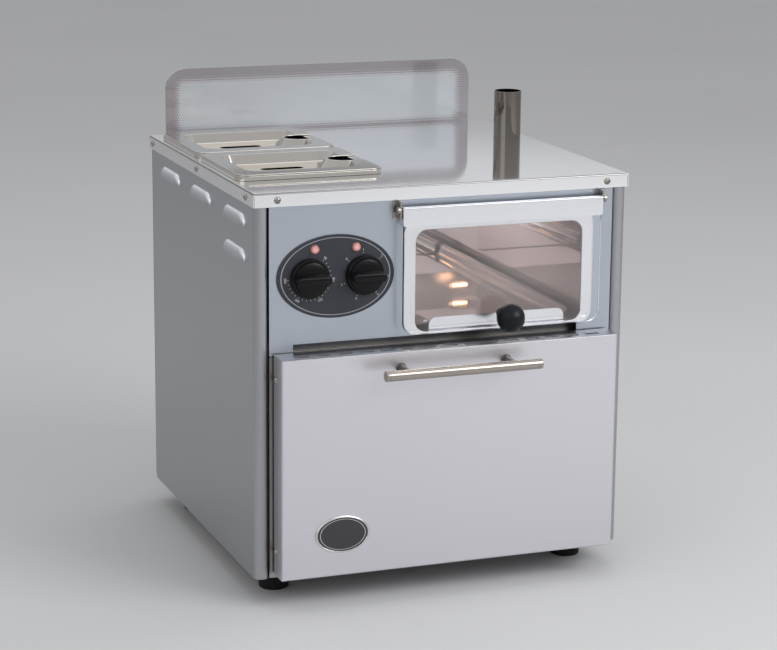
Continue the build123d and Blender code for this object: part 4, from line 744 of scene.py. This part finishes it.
def lampFilament():
    size = {"x": -6, "y": 34, "level": 438, "length": 20, "radius": 1.3}
    shape = bmesh.new()
    radius, length = size["radius"] / 1000, size["length"] / 1000
    end, slope = radius * 0.6, radius * 0.5
    lathe(shape, [(end, 0), (radius, slope), (radius, length - slope), (end, length)], steps=20)
    place = facing(at(size["x"], size["y"], size["level"]), (1, 0, 0), (0, 1, 0))
    makePiece("lamp_filament", shape, "lampGlow", "oven", place)
    print("lamp filament made")


def displayTray():  # the lift-out tray: rolled rims at its sides and an upright front lip with rounded corners
    size = {"left": -17, "right": 151, "front": 8, "back": 396, "foot": 305.1}
    section = {"wall": 12, "sheet": 1, "roll": 6, "lip": 15.5, "corner": 9}
    half = (size["right"] - size["left"]) / 2000
    wall, sheet, roll = section["wall"] / 1000, section["sheet"] / 1000, section["roll"] / 1000
    bend = {"halfTurns": 1.6, "steps": 14}
    turns = [math.pi * (1 - step / bend["steps"] * bend["halfTurns"]) for step in range(bend["steps"] + 1)]

    def curl(radius, share):  # one face of the roll, which is smaller towards the lip
        x, z, radius = half + roll * share, wall - roll * share / 2, radius * share
        return [(x + radius * math.cos(turn), z + radius * math.sin(turn)) for turn in turns]

    def rim(share):  # section of one rim
        foot = [(half - 0.003, 0), (half - 0.0008, 0.0008), (half, 0.003)]
        within = curl(roll - sheet, share)[::-1]
        return foot + curl(roll, share) + within + [(half - sheet, 0.0035), (half - 0.004, sheet)]

    shape = bmesh.new()
    depth = (size["back"] - size["front"]) / 1000
    rows = ((0, 0.12), (0.004, 0.5), (0.009, 0.8), (0.016, 0.95), (0.024, 1), (depth, 1))
    for side in (-1, 1):
        loft(shape, [[Vector((side * x, y, z)) for x, z in rim(share)] for y, share in rows])
    place = Matrix.Translation(at((size["left"] + size["right"]) / 2, size["front"], size["foot"]))
    makePiece("tray_rims", shape, "rimSteel", "oven", place, ["display_tray"], smooth=50)
    floor = bmesh.new()
    extent = Matrix.Diagonal((2 * half - 0.007, depth, sheet, 1))
    bmesh.ops.create_cube(floor, size=1, matrix=Matrix.Translation((0, depth / 2, sheet / 2)) @ extent)
    makePiece("tray_floor", floor, "cabinetSteel", "oven", place)
    lip = bmesh.new()
    height, corner = section["lip"] / 1000, section["corner"] / 1000
    outline = [(-half, 0), (half, 0)]
    for side, first in ((1, 0), (-1, 90)):
        for step in range(9):
            turn = math.radians(first + 90 * step / 8)
            across, rise = corner * math.cos(turn), corner * math.sin(turn)
            outline.append((side * (half - corner) + across, height - corner + rise))
    loft(lip, [[Vector((x, y, z)) for x, z in outline] for y in (-0.001, 0)])
    makePiece("tray_lip", lip, "frameSteel", "oven", place, smooth=30)
    print("tray made")


units = repeatTree()
screws(units)
dialMarks(units)
displayTray()
lampFilament()
knobs()
ballKnob()
drawerHandle()
badge()


def setting():  # floor, light and camera
    floorFinish = Finish("floorFinish", {"Roughness": 0.85, "Specular IOR Level": 0.2})
    clouds = floorFinish.noise(1.2, detail=4.0)
    floorFinish.feed({"Base Color": floorFinish.mix(clouds, (0.6, 0.605, 0.615), (0.66, 0.665, 0.675))})
    shape = bmesh.new()
    bmesh.ops.create_circle(shape, cap_ends=True, radius=40, segments=64)
    mesh = bpy.data.meshes.new("floor")
    shape.to_mesh(mesh)
    shape.free()
    mesh.materials.append(floorFinish.material)
    floor = bpy.data.objects.new("floor", mesh)
    bpy.context.scene.collection.objects.link(floor)

    world = bpy.data.worlds.new("studio")
    bpy.context.scene.world = world
    world.use_nodes = True
    world.node_tree.nodes.clear()
    sky = Graph(world.node_tree)
    path = sky.node("ShaderNodeLightPath").socket.node.outputs
    seen = [Flow(sky, path[name]) for name in ("Is Camera Ray", "Is Glossy Ray", "Is Transmission Ray")]
    direction = sky.node("ShaderNodeTexCoord")  # in a world, the Generated output is the ray's direction
    rise = sky.node("ShaderNodeSeparateXYZ", inputs={"Vector": direction}, output="Z")
    stops = [  # darker near the floor, where the level steel mirrors it
        (0.0, (0.34, 0.345, 0.36)), (0.13, (0.33, 0.335, 0.35)), (0.15, (0.36, 0.365, 0.38)),
        (0.166, (0.68, 0.69, 0.71)), (0.4, (0.72, 0.73, 0.75)), (1.0, (0.62, 0.63, 0.65)),
    ]
    backdrop = sky.node("ShaderNodeValToRGB", {"stops": stops}, {0: rise})
    shown = sky.node("ShaderNodeBackground", inputs={"Color": backdrop, "Strength": 1.0})
    light = sky.node("ShaderNodeBackground", inputs={"Color": (1, 1, 1), "Strength": 0.52})
    factor = (seen[0] + seen[1] + seen[2]).atMost(1)
    mixed = sky.node("ShaderNodeMixShader", inputs={0: factor, 1: light, 2: shown})
    sky.join(world.node_tree.nodes.new("ShaderNodeOutputWorld").inputs["Surface"], mixed)

    lamps = [
        {"name": "keyLamp", "place": (2.0, -2.3, 2.3), "aim": (0.1, -0.1, 0.25), "size": 2.0, "power": 45},
        {"name": "fillLamp", "place": (-2.4, -1.6, 1.9), "aim": (0, 0, 0.25), "size": 2.4, "power": 9},
        {"name": "topLamp", "place": (0.2, 0.6, 2.6), "aim": (0, 0, 0.4), "size": 2.4, "power": 12},
        {"name": "floorLamp", "place": (0.9, -2.1, 1.5), "aim": (0.85, -2.0, 0), "size": 1.4, "power": 14},
        {
            "name": "cabinetLamp", "place": (0.067, 0.01, 0.449), "aim": (0.067, 0.01, 0.3),
            "size": 0.15, "power": 0.2,
        },
    ]
    for lamp in lamps:
        data = bpy.data.lights.new(lamp["name"], "AREA")
        data.size, data.energy = lamp["size"], lamp["power"]
        obj = bpy.data.objects.new(lamp["name"], data)
        bpy.context.scene.collection.objects.link(obj)
        obj.location = lamp["place"]
        obj.visible_glossy = lamp["size"] > 1  # the small lamp inside the cabinet shows in no mirror image
        obj.rotation_euler = (Vector(lamp["aim"]) - Vector(lamp["place"])).to_track_quat("-Z", "Y").to_euler()

    view = {"place": (-1.0117, -2.6982, 0.953), "lens": 112.74}
    view["turns"] = (("Z", -20.631), ("X", 76.639), ("Z", 0.519))
    data = bpy.data.cameras.new("camera")
    data.sensor_width, data.lens = 36, view["lens"]
    data.clip_start, data.clip_end = 0.05, 100
    camera = bpy.data.objects.new("camera", data)
    bpy.context.scene.collection.objects.link(camera)
    place = Matrix.Translation(view["place"])
    for axis, degrees in view["turns"]:
        place = place @ Matrix.Rotation(math.radians(degrees), 4, axis)
    camera.matrix_world = place
    bpy.context.scene.camera = camera
    bpy.context.scene.view_settings.view_transform = "Standard"
    print("floor, light and camera set")


setting()
